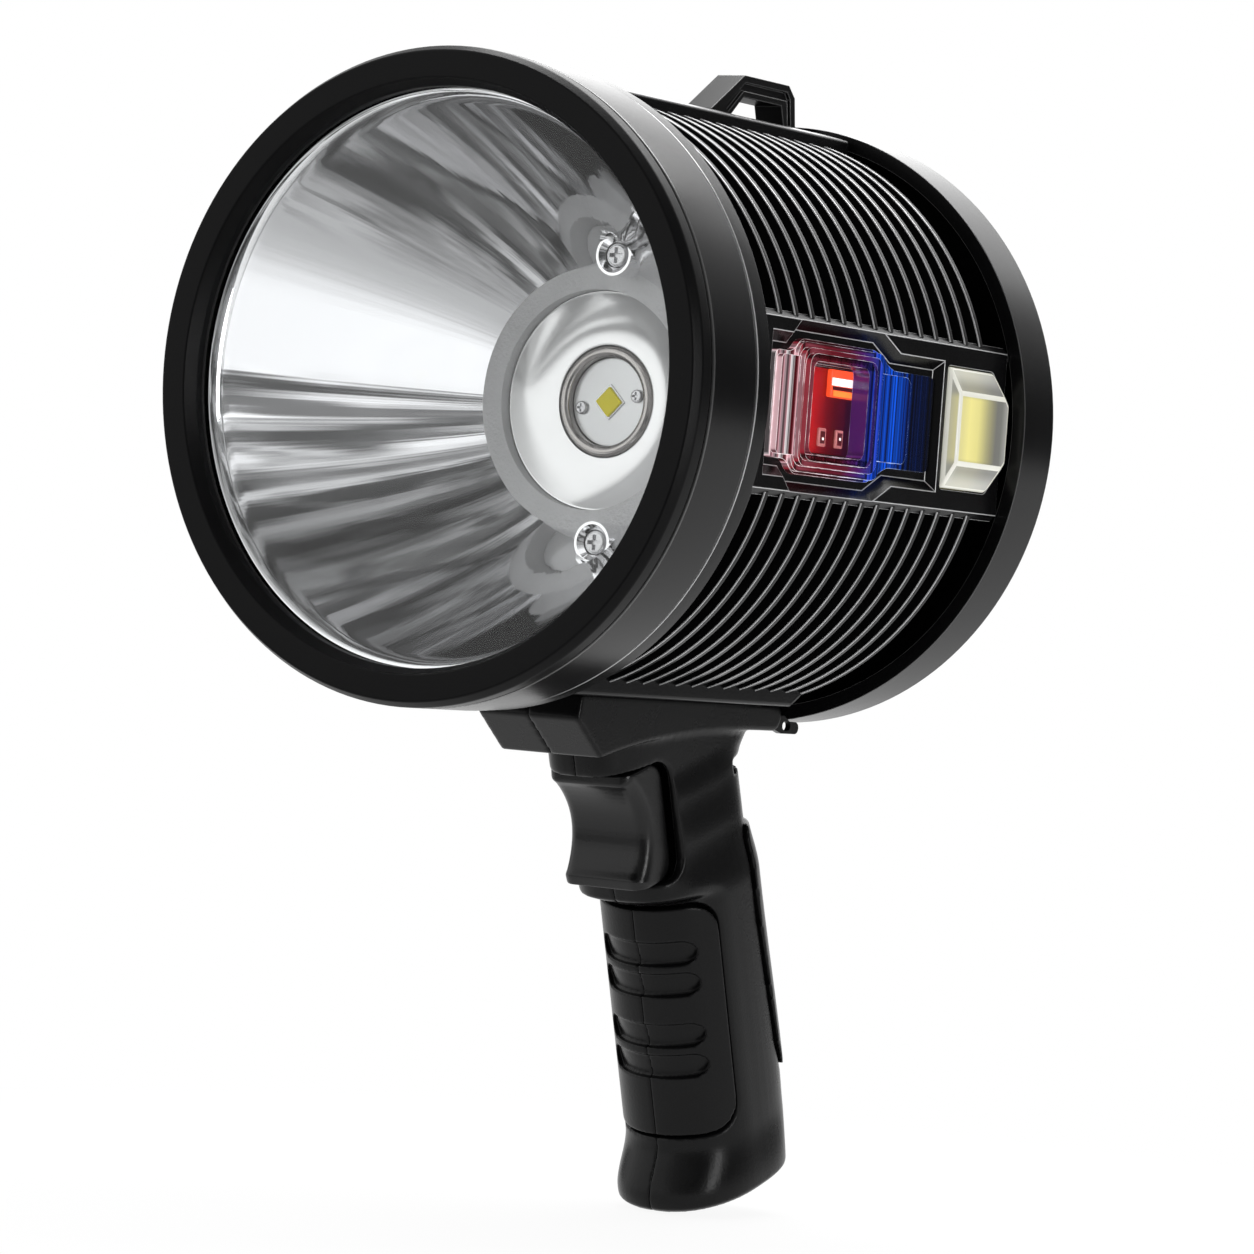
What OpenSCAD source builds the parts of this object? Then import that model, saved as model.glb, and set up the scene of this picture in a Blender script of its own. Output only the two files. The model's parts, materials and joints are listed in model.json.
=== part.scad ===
// Pistol-grip searchlight: a round finned head with a deep reflector, a side beacon and side lamp,
// and a raked two-piece grip with a sliding trigger.
// Millimetres, +Z up, the beam leaves along -Y. The origin is the centre of the flat rear face.
// Inside the file, y is measured back from the bezel's face and z from the axis of the head.

/* [Head] */
// Outer radius of the bezel and the front collar
head_r = 70; // [67:0.5:74]
// Width of the visible grooves between the rings of the head
groove_w = 0.75; // [0.5:0.05:1]
// Clearance between rings that nest in each other
fit_gap = 0.15; // [0.1:0.05:0.25]

/* [Bezel and lens] */
// Width of the bezel's face, from the clear opening to the outside
bezel_face = 8.4; // [7.6:0.1:9.4]
// Length of the bezel that shows from the side
bezel_len = 5.5; // [5:0.1:7]
// Width of the bezel's outer bevel on its face
bezel_bevel_w = 1.2; // [0.5:0.1:2]
// Length of the bezel's outer bevel along the head
bezel_bevel_len = 2.1; // [1:0.1:3]
// Width of the bevel that leads into the clear opening
opening_bevel_w = 1.4; // [0.5:0.1:2]
// Depth of the bevel that leads into the clear opening
opening_bevel_len = 3; // [1:0.1:4]
// Depth of the lip that the lens seal rests against
lip_len = 5; // [4.5:0.1:5.4]
// How far the lens reaches under the lip
lens_ledge = 2.8; // [2.4:0.1:3.2]
// Thickness of the lens seal
seal_t = 0.6; // [0.4:0.1:0.8]
// Thickness of the front lens
lens_t = 1.6; // [1.2:0.1:2]
// Length of the bezel's skirt inside the collar
skirt_len = 8.5; // [7:0.5:9.5]
// Wall of the bezel's skirt
skirt_wall = 1.6; // [1.2:0.1:1.9]

/* [Collar] */
// Length of the front collar that shows
collar_len = 16.5; // [15.5:0.5:20]
// Width of the collar's inner ledge behind the lens stack
collar_ledge = 2.4; // [1.8:0.1:2.6]

/* [Reflector and emitter] */
// Wall of the reflector
reflector_wall = 1.3; // [1:0.1:1.6]
// Thickness of the reflector's rim
rim_t = 1.2; // [1:0.1:1.6]
// How far the mouth of the mirror lies inside the clear opening
rim_step = 2.3; // [1.8:0.1:3]
// Depth of the rolled step between the rim and the mirror
rim_rise = 3.1; // [2.6:0.1:3.6]
// Radius of the mirror where it meets the heat sink
neck_r = 29.5; // [28:0.5:31]
// Depth of the emitter, which sits in the mirror's focus
emitter_depth = 72; // [71:0.5:73]
// How far the reflector screws lie outside the mirror's neck
boss_out = 2.9; // [2.5:0.1:4]
// Angle of the reflector screws above and below the side
boss_angle = 77; // [70:1:85]
// Radius of the reflector's screw bosses
boss_r = 4.6; // [4.2:0.1:5]
// How far the bosses stand in front of the heat sink
boss_stand = 6.7; // [6:0.1:7.4]
// Radius of the polished dish round the emitter
dish_r = 24.3; // [22:0.1:26]
// Hollow of the dish
dish_hollow = 2.5; // [1.5:0.1:3]
// Outer radius of the retaining ring
retainer_r = 12.4; // [11.5:0.1:13]
// Radius of the round emitter board
board_r = 9.8; // [9:0.1:10.4]
// Thickness of the emitter board
board_t = 1.4; // [1:0.1:1.8]
// How far the retaining ring stands above the board
retainer_rise = 2.4; // [1.5:0.1:2.6]
// Side of the square emitter
chip_w = 4.8; // [4:0.1:6]
// Thickness of the emitter
chip_t = 0.9; // [0.6:0.1:1.2]
// Distance of the board screws from the axis
board_screw_place = 7.4; // [6.6:0.1:7.6]
// Radius of the heat sink
sink_r = 40; // [39:0.5:44]
// Thickness of the heat sink behind the emitter board
sink_floor = 4.7; // [4:0.1:6]
// Thickness of the bulkhead
bulkhead_t = 3; // [2.5:0.5:4]
// Radius of the wire hole in the bulkhead and the heat sink
wire_hole_r = 3; // [2:0.5:4]

/* [Finned barrel] */
// Length of the barrel's front flange
flange_len = 5; // [4:0.5:7]
// How far the flange lies under the collar's radius
flange_drop = 0.3; // [0:0.1:1]
// Length of the barrel behind its flange
barrel_len = 110.5; // [110:0.5:114]
// Length of the barrel's spigot inside the collar
spigot_len = 4.5; // [3.5:0.5:5]
// How far the fin tips lie under the collar's radius
fin_drop = 4.2; // [3.5:0.1:5]
// Height of the fins above the barrel's core
fin_depth = 9.8; // [8:0.2:10.4]
// Thickness of one fin
fin_t = 1.7; // [1.2:0.1:2.2]
// Distance from fin to fin
fin_pitch = 6.5; // [6:0.1:6.6]
// Distance from the flange to the middle of the first fin
fin_lead = 5.8; // [4:0.1:6]
// Number of fins
fin_count = 15; // [12:1:15]
// Wall of the barrel's core
core_wall = 3; // [2.5:0.1:3.2]

/* [Rails] */
// Half the width of the top rail
top_rail_half = 18; // [14:0.5:20]
// Height of the top rail above the fin tips
top_rail_rise = 2.2; // [1.5:0.1:2.8]
// Distance from the end of the barrel to the end of the top rail
top_rail_short = 3.5; // [3:0.5:4]
// Depth of the flat that seats the carry loop
loop_seat = 0.6; // [0.4:0.1:0.8]
// Half the width of the keel under the head
keel_half = 23; // [20:0.5:24]
// How far the keel's flat lies above the lowest fin tip
keel_rise = 1.1; // [0.8:0.1:1.4]
// Distance from the end of the barrel to the end of the keel
keel_short = 13; // [10:0.5:14]
// Length of the slope at the keel's end
keel_slope = 5; // [4:0.5:6]
// Height of the slope at the keel's end
keel_slope_h = 2.8; // [2:0.1:3]

/* [Side panel] */
// How far the side panels lie under the fin tips
panel_drop = 2.3; // [2:0.1:2.8]
// Half the height of the side panels
panel_half = 19.6; // [19:0.1:21]
// Bevel along the side panels
panel_bevel = 1.4; // [0.8:0.1:1.6]
// Distance from the end of the barrel to the end of the side panels
panel_short = 2.6; // [2.4:0.1:3]

/* [Beacon] */
// Distance from the flange to the beacon's recess
recess_lead = 9.2; // [8:0.1:9.4]
// Length of the beacon's recess
recess_len = 71.4; // [70:0.1:71.6]
// Depth of the beacon's recess
recess_depth = 2.4; // [2:0.1:2.6]
// Half the height of the recess at its front end
recess_front_half = 14.2; // [13:0.1:14.6]
// Half the height of the recess at its middle
recess_middle_half = 17.2; // [16.6:0.1:17.6]
// Half the height of the recess at its rear end
recess_rear_half = 13.4; // [12.8:0.1:14]
// Where the recess starts to widen
recess_widen = 8.6; // [8:0.1:9.4]
// Where the recess starts to narrow
recess_narrow = 44.5; // [44:0.1:46]
// Length of the front slope of the recess
recess_front_slope = 3; // [2:0.1:4]
// Length of the rear slope of the recess
recess_rear_slope = 7.5; // [6:0.1:8]
// Margin between the recess and the beacon's lens
beacon_margin = 1.8; // [1.4:0.1:2.2]
// Height of the beacon's lens foot
beacon_foot = 1.5; // [1.2:0.1:1.8]
// Height of the beacon's dome above the floor of the recess
beacon_rise = 5; // [4.6:0.1:5.4]
// How far the dome's walls lean in
beacon_lean = 2.6; // [2:0.1:3]
// Wall of the beacon's lens
beacon_wall = 1.5; // [1.2:0.1:1.6]
// Height of the steps at the two ends of the dome
beacon_step = 3; // [2.6:0.1:3.4]
// Length of the rear step of the beacon's lens
beacon_step_len = 9; // [8:0.1:10]
// Half the height of the beacon's light well
well_half = 9.6; // [9:0.1:10]
// Depth of the beacon's light well
well_depth = 3; // [2.6:0.1:3.2]
// Thickness of the beacon's circuit board and the lamp's board
thin_board_t = 1.2; // [1:0.1:1.4]
// Length of a beacon light
beacon_led_len = 12; // [9:0.5:13]
// Height of a beacon light
beacon_led_h = 6; // [4:0.2:6.2]
// Thickness of a beacon light
beacon_led_t = 1.3; // [1:0.1:1.5]
// Distance between the small resistors
resistor_pitch = 7; // [6:0.1:7.4]

/* [Side lamp] */
// Distance from the beacon's recess to the side lamp
lamp_lead = 1.9; // [1.6:0.1:2.2]
// Distance from the side lamp's lens to the end of its panel
lamp_tail = 0.8; // [0.6:0.1:1.6]
// Half the height of the side lamp's lens
lamp_half = 13.4; // [12:0.1:14]
// How far the side lamp stands out of the panel
lamp_rise = 2.8; // [2.4:0.1:3.2]
// Height of the slope at the lamp's top and bottom
lamp_slope = 5.6; // [4:0.1:6]
// Length of the corner that is cut off the rear of the lamp
lamp_corner = 5.5; // [4:0.1:6]
// Depth of the lamp's well behind the panel's face
lamp_well = 5; // [4.6:0.1:5.4]
// Wall of the side lamp's lens
lamp_wall = 1.6; // [1.2:0.1:2]

/* [Carry loop] */
// Half the width of the carry loop
loop_half = 3.75; // [3:0.25:4]
// Distance from the flange to the loop's front foot
loop_lead = 70; // [66:0.5:71]
// Length of the loop's foot print
loop_len = 35.9; // [34:0.1:36]
// Height of the loop above its seat
loop_h = 10.4; // [10.2:0.1:12]
// Thickness of the loop's bar
loop_bar = 5.1; // [4.8:0.1:5.2]
// Length of the loop's front foot
loop_foot = 7.8; // [6:0.1:8]
// Thickness of the loop's rear leg
loop_leg = 5.1; // [4:0.1:6]
// Length of the loop's sloping front leg
loop_slope = 12.9; // [11:0.1:14]

/* [Rear cover] */
// Outer radius of the rear cover, under the collar's radius
rear_drop = 1; // [0.5:0.1:1.5]
// Length of the rear cover
rear_len = 15; // [14:0.5:18]
// How far the rear cover's shroud reaches over the barrel
rear_overlap = 2; // [1.6:0.1:2.2]
// Wall of the rear cover's shroud
shroud_wall = 3.4; // [2.6:0.1:4]
// Thickness of the rear cover's back
back_t = 4; // [3.5:0.5:5]
// Bevel round the rear cover's back
rear_bevel = 2; // [1:0.5:3]
// Thickness of the rear seal
rear_seal_t = 1.2; // [1:0.1:1.5]
// Distance of the rear screws from the wall of the barrel
rear_screw_inset = 4.2; // [4:0.1:5]

/* [Battery and driver] */
// Radius of one battery cell
cell_r = 9.2; // [8.8:0.1:9.4]
// Clearance between the corners of the battery tray and the barrel
tray_gap = 0.6; // [0.4:0.1:1]
// Number of battery cells
cell_count = 4; // [2:1:4]
// Height of the posts that carry the battery tray
post_len = 10; // [8:0.5:12]
// Thickness of the battery tray
tray_t = 2; // [1.5:0.5:3]
// Width of the driver board
driver_w = 44; // [40:1:46]
// Height of the driver board
driver_h = 36; // [30:1:40]
// Thickness of the driver board
driver_t = 1.6; // [1.2:0.1:2]

/* [Saddle] */
// Half the width of the saddle that joins the grip to the head
saddle_half = 13.5; // [13:0.1:14.5]
// Distance from the flange to the saddle's front edge
saddle_lead = 22; // [20:0.5:24]
// Length of the saddle along the head
saddle_len = 82; // [80:0.5:84]
// Height of the saddle's front edge
saddle_nose_h = 5.6; // [4:0.2:6]
// Length of the saddle's slanting front face
saddle_slant_len = 10.3; // [9:0.1:12]
// Height of the saddle below its slanting front face
saddle_slant_h = 8.3; // [7:0.1:9]
// Height of the saddle at its rear end
saddle_rear_h = 6; // [5.4:0.1:7]
// Rounding of the saddle's rear corner
saddle_round = 3; // [1:0.1:4]

/* [Strap eye] */
// Thickness of the strap eye
eye_t = 1.4; // [1.2:0.1:2]
// Height of the strap eye
eye_h = 4.2; // [3.8:0.1:4.4]
// Radius of the hole in the strap eye
eye_hole_r = 1.05; // [0.9:0.05:1.2]
// Distance from the saddle's rear to the hole
eye_reach = 2.7; // [2.4:0.1:2.8]
// Distance from the saddle's rear to the end of the eye
eye_len = 8; // [7:0.1:8.4]

/* [Grip] */
// Rake of the grip
rake = 18.3; // [16:0.1:20]
// Where the grip's axis meets its neck, measured from the flange
neck_lead = 71.5; // [71:0.5:72]
// How far the grip's neck lies below the keel
neck_below = 14.3; // [13.8:0.1:15.2]
// Half the width of the grip
grip_half = 16; // [15.5:0.1:17]
// Where the round front of the grip has its centre
grip_axis = 2.3; // [2:0.1:2.6]
// Rear of the grip below the neck
grip_rear_top = 23.6; // [23:0.1:25]
// Rear of the grip above the foot
grip_rear_low = 25.8; // [25:0.1:27]
// Rear of the grip at its waist
grip_rear_waist = 22; // [21.5:0.1:23]
// Length of the grip below its neck
grip_len = 102.6; // [100:0.2:108]
// How far the foot flares forward
foot_flare = 5.8; // [4:0.2:8]
// Length of the flared foot
foot_len = 15; // [13:0.5:17]
// Front of the visor over the trigger
visor_front = 30; // [29.5:0.1:31]
// Front of the lip under the trigger
lip_front = 20; // [19:0.1:21]
// Height of the lip under the trigger
lip_h = 5.2; // [4.6:0.1:6]
// Front of the frame round the trigger
frame_front = 11; // [10.4:0.1:11.4]
// Half the width of the grip at the neck
neck_half = 13.2; // [13:0.1:13.4]

/* [Trigger] */
// Half the width of the trigger
trigger_half = 10.9; // [10:0.1:11]
// Front of the trigger's upper edge
trigger_front = 26; // [25:0.1:27]
// Upper end of the trigger, above the neck
trigger_top = 4.7; // [4.4:0.1:5]
// Lower end of the trigger, below the neck
trigger_bottom = 22.6; // [22:0.1:23]
// Radius of the hollow for the finger
finger_r = 17.2; // [16:0.1:20]
// Depth of the hollow for the finger
finger_depth = 5.2; // [4.4:0.1:5.4]
// Where the middle of the hollow lies below the neck
finger_place = 8; // [7:0.1:9]
// Rounding of the trigger's front edges
trigger_round = 3; // [2:0.1:3.4]
// Travel of the trigger
trigger_travel = 4; // [3:0.5:4]
// Clearance round the trigger
trigger_gap = 0.4; // [0.3:0.05:0.5]
// How far the trigger's rear edge stands in front of the frame
trigger_stand = 1.3; // [0.8:0.1:1.6]

/* [Grip pads] */
// Thickness of the rubber pads
pad_t = 2; // [1.8:0.1:2.2]
// How far the front pad stands out of the grip
front_pad_proud = 0.35; // [0.2:0.05:0.5]
// How far the rear pad stands out of the grip
rear_pad_proud = 0.9; // [0.6:0.1:1.2]
// Clearance round the rubber pads
pad_gap = 0.15; // [0.1:0.05:0.2]
// Upper end of the front pad, below the neck
front_pad_top = 30.6; // [30.4:0.1:31]
// Lower end of the front pad, below the neck
front_pad_low = 86; // [84:0.5:87]
// Rear edge of the front pad, in front of the grip's axis plane
front_pad_edge = 2; // [1:0.1:3]
// Corner radius of the front pad
front_pad_corner = 7; // [5:0.5:8]
// Upper end of the rear pad, below the neck
rear_pad_top = 18.8; // [18:0.1:19.5]
// Lower end of the rear pad, below the neck
rear_pad_low = 80; // [78:0.5:81]
// Upper end of the rear pad's side edge
rear_pad_edge_top = 15.6; // [15:0.1:16.2]
// Lower end of the rear pad's side edge
rear_pad_edge_low = 19.4; // [19:0.1:20]
// Depth of the finger grooves
rib_depth = 1.3; // [1:0.1:1.5]
// Height of one finger groove
rib_h = 6.4; // [6:0.1:6.6]
// Distance from groove to groove in a pair
rib_pitch = 7.4; // [7.2:0.1:7.8]
// Upper end of the first pair of finger grooves
rib_top = 38.6; // [38:0.1:40]
// Distance between the two pairs of finger grooves
rib_pair_pitch = 19.6; // [19:0.1:21]
// Half the width of a finger groove
rib_half = 12.6; // [11.6:0.1:13]

/* [Screws and switch] */
// Radius of the shank of the case screws
screw_r = 1.5; // [1.2:0.1:1.6]
// Radius of the head of the case screws
screw_head_r = 2.8; // [2.5:0.1:3]
// Height of the head of the case screws
screw_head_h = 2; // [1.6:0.1:2.2]
// Radial clearance of the screw holes
screw_gap = 0.1; // [0.05:0.05:0.2]
// Half the thickness of the trigger switch
switch_half = 3.3; // [3:0.1:3.6]
// Length of the trigger switch
switch_len = 7.6; // [7.4:0.1:8]
// Height of the trigger switch
switch_h = 16; // [14:0.5:18]
// Radius of the switch's plunger
plunger_r = 1.3; // [1:0.1:1.5]

/* [Small screws] */
// Radius of the shank of the emitter board's screws
board_screw_r = 0.8; // [0.6:0.1:0.9]
// Radius of the head of the emitter board's screws
board_screw_head_r = 1.5; // [1.3:0.1:1.7]
// Height of the head of the emitter board's screws
board_screw_head_h = 1; // [0.8:0.1:1.2]
// Length of the emitter board's screws under their heads
board_screw_len = 4.4; // [4:0.1:4.6]

/* [Charge socket] */
// Width of the charge socket
socket_w = 9; // [8.4:0.1:10]
// Height of the charge socket
socket_h = 3.2; // [3:0.1:3.6]
// Length of the charge socket
socket_len = 7; // [6:0.5:8]
// Where the charge socket lies below the neck
socket_place = 7.2; // [7:0.1:8]

/* [Hidden] */
$fn = 96;
far = 300;
skin = 0.01;
lap = 1;

view_r = head_r - bezel_face;
lens_r = view_r + lens_ledge;
skirt_in_r = lens_r + fit_gap;
skirt_r = skirt_in_r + skirt_wall;
slot_r = skirt_r + fit_gap;
ledge_r = lens_r - collar_ledge;
flange_r = head_r - flange_drop;
fin_r = head_r - fin_drop;
core_r = fin_r - fin_depth;
core_in_r = core_r - core_wall;
rear_r = head_r - rear_drop;

lens_y = lip_len + seal_t;
rim_y = lens_y + lens_t;
ledge_y = rim_y + rim_t;
collar_y = bezel_len + groove_w;
skirt_end = bezel_len + skirt_len;
collar_end = collar_y + collar_len;
flange_y = collar_end + groove_w;
flange_end = flange_y + flange_len;
spigot_y = flange_y - spigot_len;
barrel_end = flange_end + barrel_len;
rear_y = barrel_end - rear_overlap;
head_len = rear_y + rear_len;
clamp_y = barrel_end + rear_seal_t;
rear_screw_place = core_in_r - rear_screw_inset;
clamp_margin = 1;
clamp_in_r = rear_screw_place - screw_head_r - clamp_margin;

// The mirror is a parabola through the mouth with its focus at the emitter
mouth_r = view_r - rim_step;
mouth_y = rim_y + rim_rise;
mouth_reach = emitter_depth - mouth_y;
focal = (sqrt(mouth_reach * mouth_reach + mouth_r * mouth_r) - mouth_reach) / 2;
vertex_y = emitter_depth + focal;
neck_y = vertex_y - neck_r * neck_r / (4 * focal);
mirror_steps = 24;
board_y = emitter_depth + chip_t;
pocket_y = board_y + board_t;
bulkhead_depth = pocket_y + sink_floor;
bulkhead_end = bulkhead_depth + bulkhead_t;
boss_place_r = neck_r + boss_out;
boss_depth = neck_y - boss_stand;
boss_sink = 1;
boss_seat = boss_depth + screw_head_h + boss_sink;
boss_bite = 6;
board_turn = 12;
dish_drop = 0.6;

panel_x = fin_r - panel_drop;
panel_end = barrel_end - panel_short;
recess_y = flange_end + recess_lead;
floor_x = panel_x - recess_depth;
well_x = floor_x - well_depth;
beacon_y = recess_y + beacon_margin;
beacon_len = recess_len - 2 * beacon_margin;
dome_y = recess_widen + recess_front_slope - beacon_margin;
dome_len = recess_narrow - recess_widen - recess_front_slope;
lamp_y = recess_y + recess_len + lamp_lead;
lamp_len = panel_end - lamp_tail - lamp_y;
lamp_floor_x = panel_x - lamp_well;

top_rail_r = fin_r + top_rail_rise;
top_rail_end = barrel_end - top_rail_short;
loop_z = top_rail_r - loop_seat;
loop_y = flange_end + loop_lead;
loop_end = loop_y + loop_len;
keel_z = fin_r - keel_rise;
keel_end = barrel_end - keel_short;
neck_drop = keel_z + neck_below;

saddle_y = flange_end + saddle_lead;
saddle_end = saddle_y + saddle_len;
neck_y0 = flange_end + neck_lead;

trigger_rear = frame_front + trigger_stand;
stem_half = 4;
stem_front = 6;
stem_end = 1;
stem_top = -4;
stem_low = -12;
stop_gap = 0.5;
switch_gap = 0.1;
switch_v = trigger_travel + stop_gap;
switch_low = -16;
plunger_reach = 2;

tray_y = bulkhead_end + post_len;
cell_gap = 0.1;
cell_pitch = 2 * (cell_r + cell_gap);
tray_half = cell_count * cell_pitch / 2 + tray_t;
tray_reach = core_in_r - tray_gap;
cell_slack = 0.5;
cell_len = 2 * (sqrt(tray_reach * tray_reach - tray_half * tray_half) - tray_t - cell_slack);
post_side = 7;
post_rise = 5;
post_x = driver_w / 2 + post_side;
post_z = driver_h / 2 + post_rise;
post_r = 3.5;

// Moves a piece from the measuring frame of the head to the frame of the part
module placed() {
    translate([0, -head_len, 0]) children();
}

// Turns local Z into the axis of the head, starting at a depth behind the bezel's face
module along_head(depth = 0) {
    translate([0, depth, 0]) rotate([-90, 0, 0]) children();
}

// A ring of revolution round the axis of the head, from points of radius and depth
module turned(points) {
    rotate([-90, 0, 0]) rotate_extrude($fn = 180) polygon(points);
}

// Turns a flat outline of depth and height into a bar along X
module across(from, to) {
    translate([from, 0, 0]) rotate([90, 0, 90]) linear_extrude(to - from) children();
}

// The grip's own frame: x across, y to the rear, z up along the grip
module raked() {
    translate([0, neck_y0, -neck_drop]) rotate([rake, 0, 0]) children();
}

// A box from its low corner to its high corner
module span(low, high) {
    translate(low) cube(high - low);
}

// A screw that stands on its tip, with its head on top
module screw(shank_r, head_r, head_h, len) {
    cylinder(r = shank_r, h = len + skin, $fn = 32);
    translate([0, 0, len]) cylinder(r = head_r, h = head_h, $fn = 32);
}

module bezel_ring() {
    color("#161616") placed() turned([
        [view_r + opening_bevel_w, 0],
        [head_r - bezel_bevel_w, 0],
        [head_r, bezel_bevel_len],
        [head_r, bezel_len],
        [skirt_r, bezel_len],
        [skirt_r, skirt_end],
        [skirt_in_r, skirt_end],
        [skirt_in_r, lip_len],
        [view_r, lip_len],
        [view_r, opening_bevel_len]
    ]);
}

module lens_seal() {
    color("#0c0c0c") placed() turned([
        [view_r, lip_len], [lens_r, lip_len], [lens_r, lens_y], [view_r, lens_y]
    ]);
}

module front_lens() {
    color("#d8e4ea", 0.3) placed() along_head(lens_y) cylinder(r = lens_r, h = lens_t, $fn = 180);
}

function mirror_y(i) = mouth_y + (neck_y - mouth_y) * i / mirror_steps;
function mirror_r(y) = sqrt(4 * focal * (vertex_y - y));

module at_bosses() {
    for (side = [-1, 1]) rotate([0, -side * boss_angle, 0]) translate([boss_place_r, 0, 0]) children();
}

module reflector() {
    inner = [for (i = [0 : mirror_steps]) [mirror_r(mirror_y(i)), mirror_y(i)]];
    outer = [for (i = [mirror_steps : -1 : 0]) [mirror_r(mirror_y(i)) + reflector_wall, mirror_y(i)]];
    rim = [[ledge_r - fit_gap, ledge_y], [lens_r, ledge_y], [lens_r, rim_y], [view_r, rim_y]];
    bore = screw_r + screw_gap;
    sink = screw_head_r + screw_gap;
    color("#d9dadc") placed() difference() {
        union() {
            turned(concat(inner, outer, rim));
            at_bosses() along_head(boss_depth) cylinder(r = boss_r, h = neck_y - boss_depth);
        }
        at_bosses() along_head(mouth_y) cylinder(r = boss_r, h = boss_depth - mouth_y);
        at_bosses() along_head(mouth_y) cylinder(r = sink, h = boss_seat - mouth_y, $fn = 32);
        at_bosses() along_head(mouth_y) cylinder(r = bore, h = far, $fn = 32);
    }
}

module reflector_screws() {
    tip = neck_y + boss_bite;
    color("#b9bbbd") placed() at_bosses() translate([0, tip, 0]) rotate([90, 0, 0])
        screw(screw_r, screw_head_r, screw_head_h, tip - boss_seat);
}

module at_board_screws() {
    for (side = [0, 180]) rotate([0, side - board_turn, 0]) translate([board_screw_place, 0, 0]) children();
}

module heat_sink() {
    pocket_r = dish_r + fit_gap;
    color("#9b9d9f") placed() difference() {
        turned([
            [0, pocket_y], [pocket_r, pocket_y], [pocket_r, neck_y], [sink_r, neck_y],
            [sink_r, bulkhead_depth], [0, bulkhead_depth]
        ]);
        at_bosses() along_head(neck_y - lap)
            cylinder(r = screw_r + screw_gap, h = boss_bite + 2 * lap, $fn = 32);
        at_board_screws() along_head(pocket_y - lap)
            cylinder(r = board_screw_r + screw_gap, h = board_screw_len, $fn = 32);
    }
}

module emitter_dish() {
    bore = retainer_r + fit_gap;
    low_y = board_y - retainer_rise + dish_drop;
    steps = 8;
    face = [for (i = [0 : steps])
        [dish_r + (bore - dish_r) * i / steps, low_y - dish_hollow * pow(1 - i / steps, 2)]];
    color("#e6e7e8") placed() turned(concat([[bore, pocket_y], [dish_r, pocket_y]], face));
}

module emitter_retainer() {
    bore = board_r + fit_gap;
    top = board_y - retainer_rise;
    bevel = 0.7;
    color("#c9cacc") placed() turned([
        [bore, pocket_y], [retainer_r, pocket_y], [retainer_r, top + bevel],
        [retainer_r - bevel, top], [bore + bevel, top], [bore, top + bevel]
    ]);
}

module emitter_board() {
    color("#cfd1d3") placed() difference() {
        along_head(board_y) cylinder(r = board_r, h = board_t);
        at_board_screws() along_head(board_y - lap) cylinder(r = board_screw_r + screw_gap, h = far, $fn = 32);
    }
}

module emitter_chip() {
    color("#f0dc28") placed() rotate([0, 45, 0])
        span([-chip_w / 2, emitter_depth, -chip_w / 2], [chip_w / 2, board_y, chip_w / 2]);
}

module board_screws() {
    tip = board_y + board_screw_len;
    color("#c4c6c8") placed() at_board_screws() translate([0, tip, 0]) rotate([90, 0, 0])
        screw(board_screw_r, board_screw_head_r, board_screw_head_h, board_screw_len);
}

module front_collar() {
    color("#1a1a1a") placed() turned([
        [slot_r, collar_y], [head_r, collar_y], [head_r, collar_end], [slot_r, collar_end],
        [slot_r, spigot_y - fit_gap], [ledge_r, spigot_y - fit_gap], [ledge_r, ledge_y],
        [lens_r - fit_gap, ledge_y], [lens_r - fit_gap, skirt_end + fit_gap], [slot_r, skirt_end + fit_gap]
    ]);
}

// Outline of the beacon's recess in depth and height, drawn in by a margin
module beacon_outline(margin) {
    slope_share = 0.4;
    widen = recess_widen + margin * slope_share;
    narrow = recess_narrow - margin * slope_share;
    upper = [
        [margin, recess_front_half - margin],
        [widen, recess_front_half - margin],
        [widen + recess_front_slope, recess_middle_half - margin],
        [narrow, recess_middle_half - margin],
        [narrow + recess_rear_slope, recess_rear_half - margin],
        [recess_len - margin, recess_rear_half - margin]
    ];
    lower = [for (i = [len(upper) - 1 : -1 : 0]) [upper[i][0], -upper[i][1]]];
    translate([recess_y, 0]) polygon(concat(upper, lower));
}

// Outline of the side lamp in depth and height, drawn in by a margin
module lamp_outline(margin, slope) {
    top = lamp_half - margin - slope;
    front = lamp_y + margin;
    rear = lamp_y + lamp_len - margin;
    least_cut = 1;
    cut = max(lamp_corner - slope, least_cut);
    polygon([
        [front, top], [rear - cut, top], [rear, top - cut], [rear, cut - top], [rear - cut, -top], [front, -top]
    ]);
}

module barrel_hollow() {
    mouth_end = spigot_y + 2 * lap;
    turned([
        [0, spigot_y - lap], [ledge_r, spigot_y - lap], [ledge_r, mouth_end], [core_in_r, flange_end],
        [core_in_r, bulkhead_depth], [0, bulkhead_depth]
    ]);
    along_head(bulkhead_end) cylinder(r = core_in_r, h = far);
}

module side_panel() {
    rim = panel_half - panel_bevel;
    root = core_in_r / 2;
    translate([0, flange_end, 0]) rotate([-90, 0, 0]) linear_extrude(panel_end - flange_end) polygon([
        [root, -panel_half], [panel_x - panel_bevel, -panel_half], [panel_x, -rim],
        [panel_x, rim], [panel_x - panel_bevel, panel_half], [root, panel_half]
    ]);
}

// The keel under the head, with a slope at its rear end
module keel() {
    root = fin_r / 2;
    across(-keel_half, keel_half) polygon([
        [flange_end, -root], [flange_end, -keel_z], [keel_end - keel_slope, -keel_z],
        [keel_end, keel_slope_h - keel_z], [keel_end, -root]
    ]);
}

module at_rear_screws() {
    for (turn = [45 : 90 : 315]) rotate([0, turn, 0]) translate([rear_screw_place, 0, 0]) children();
}

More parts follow.
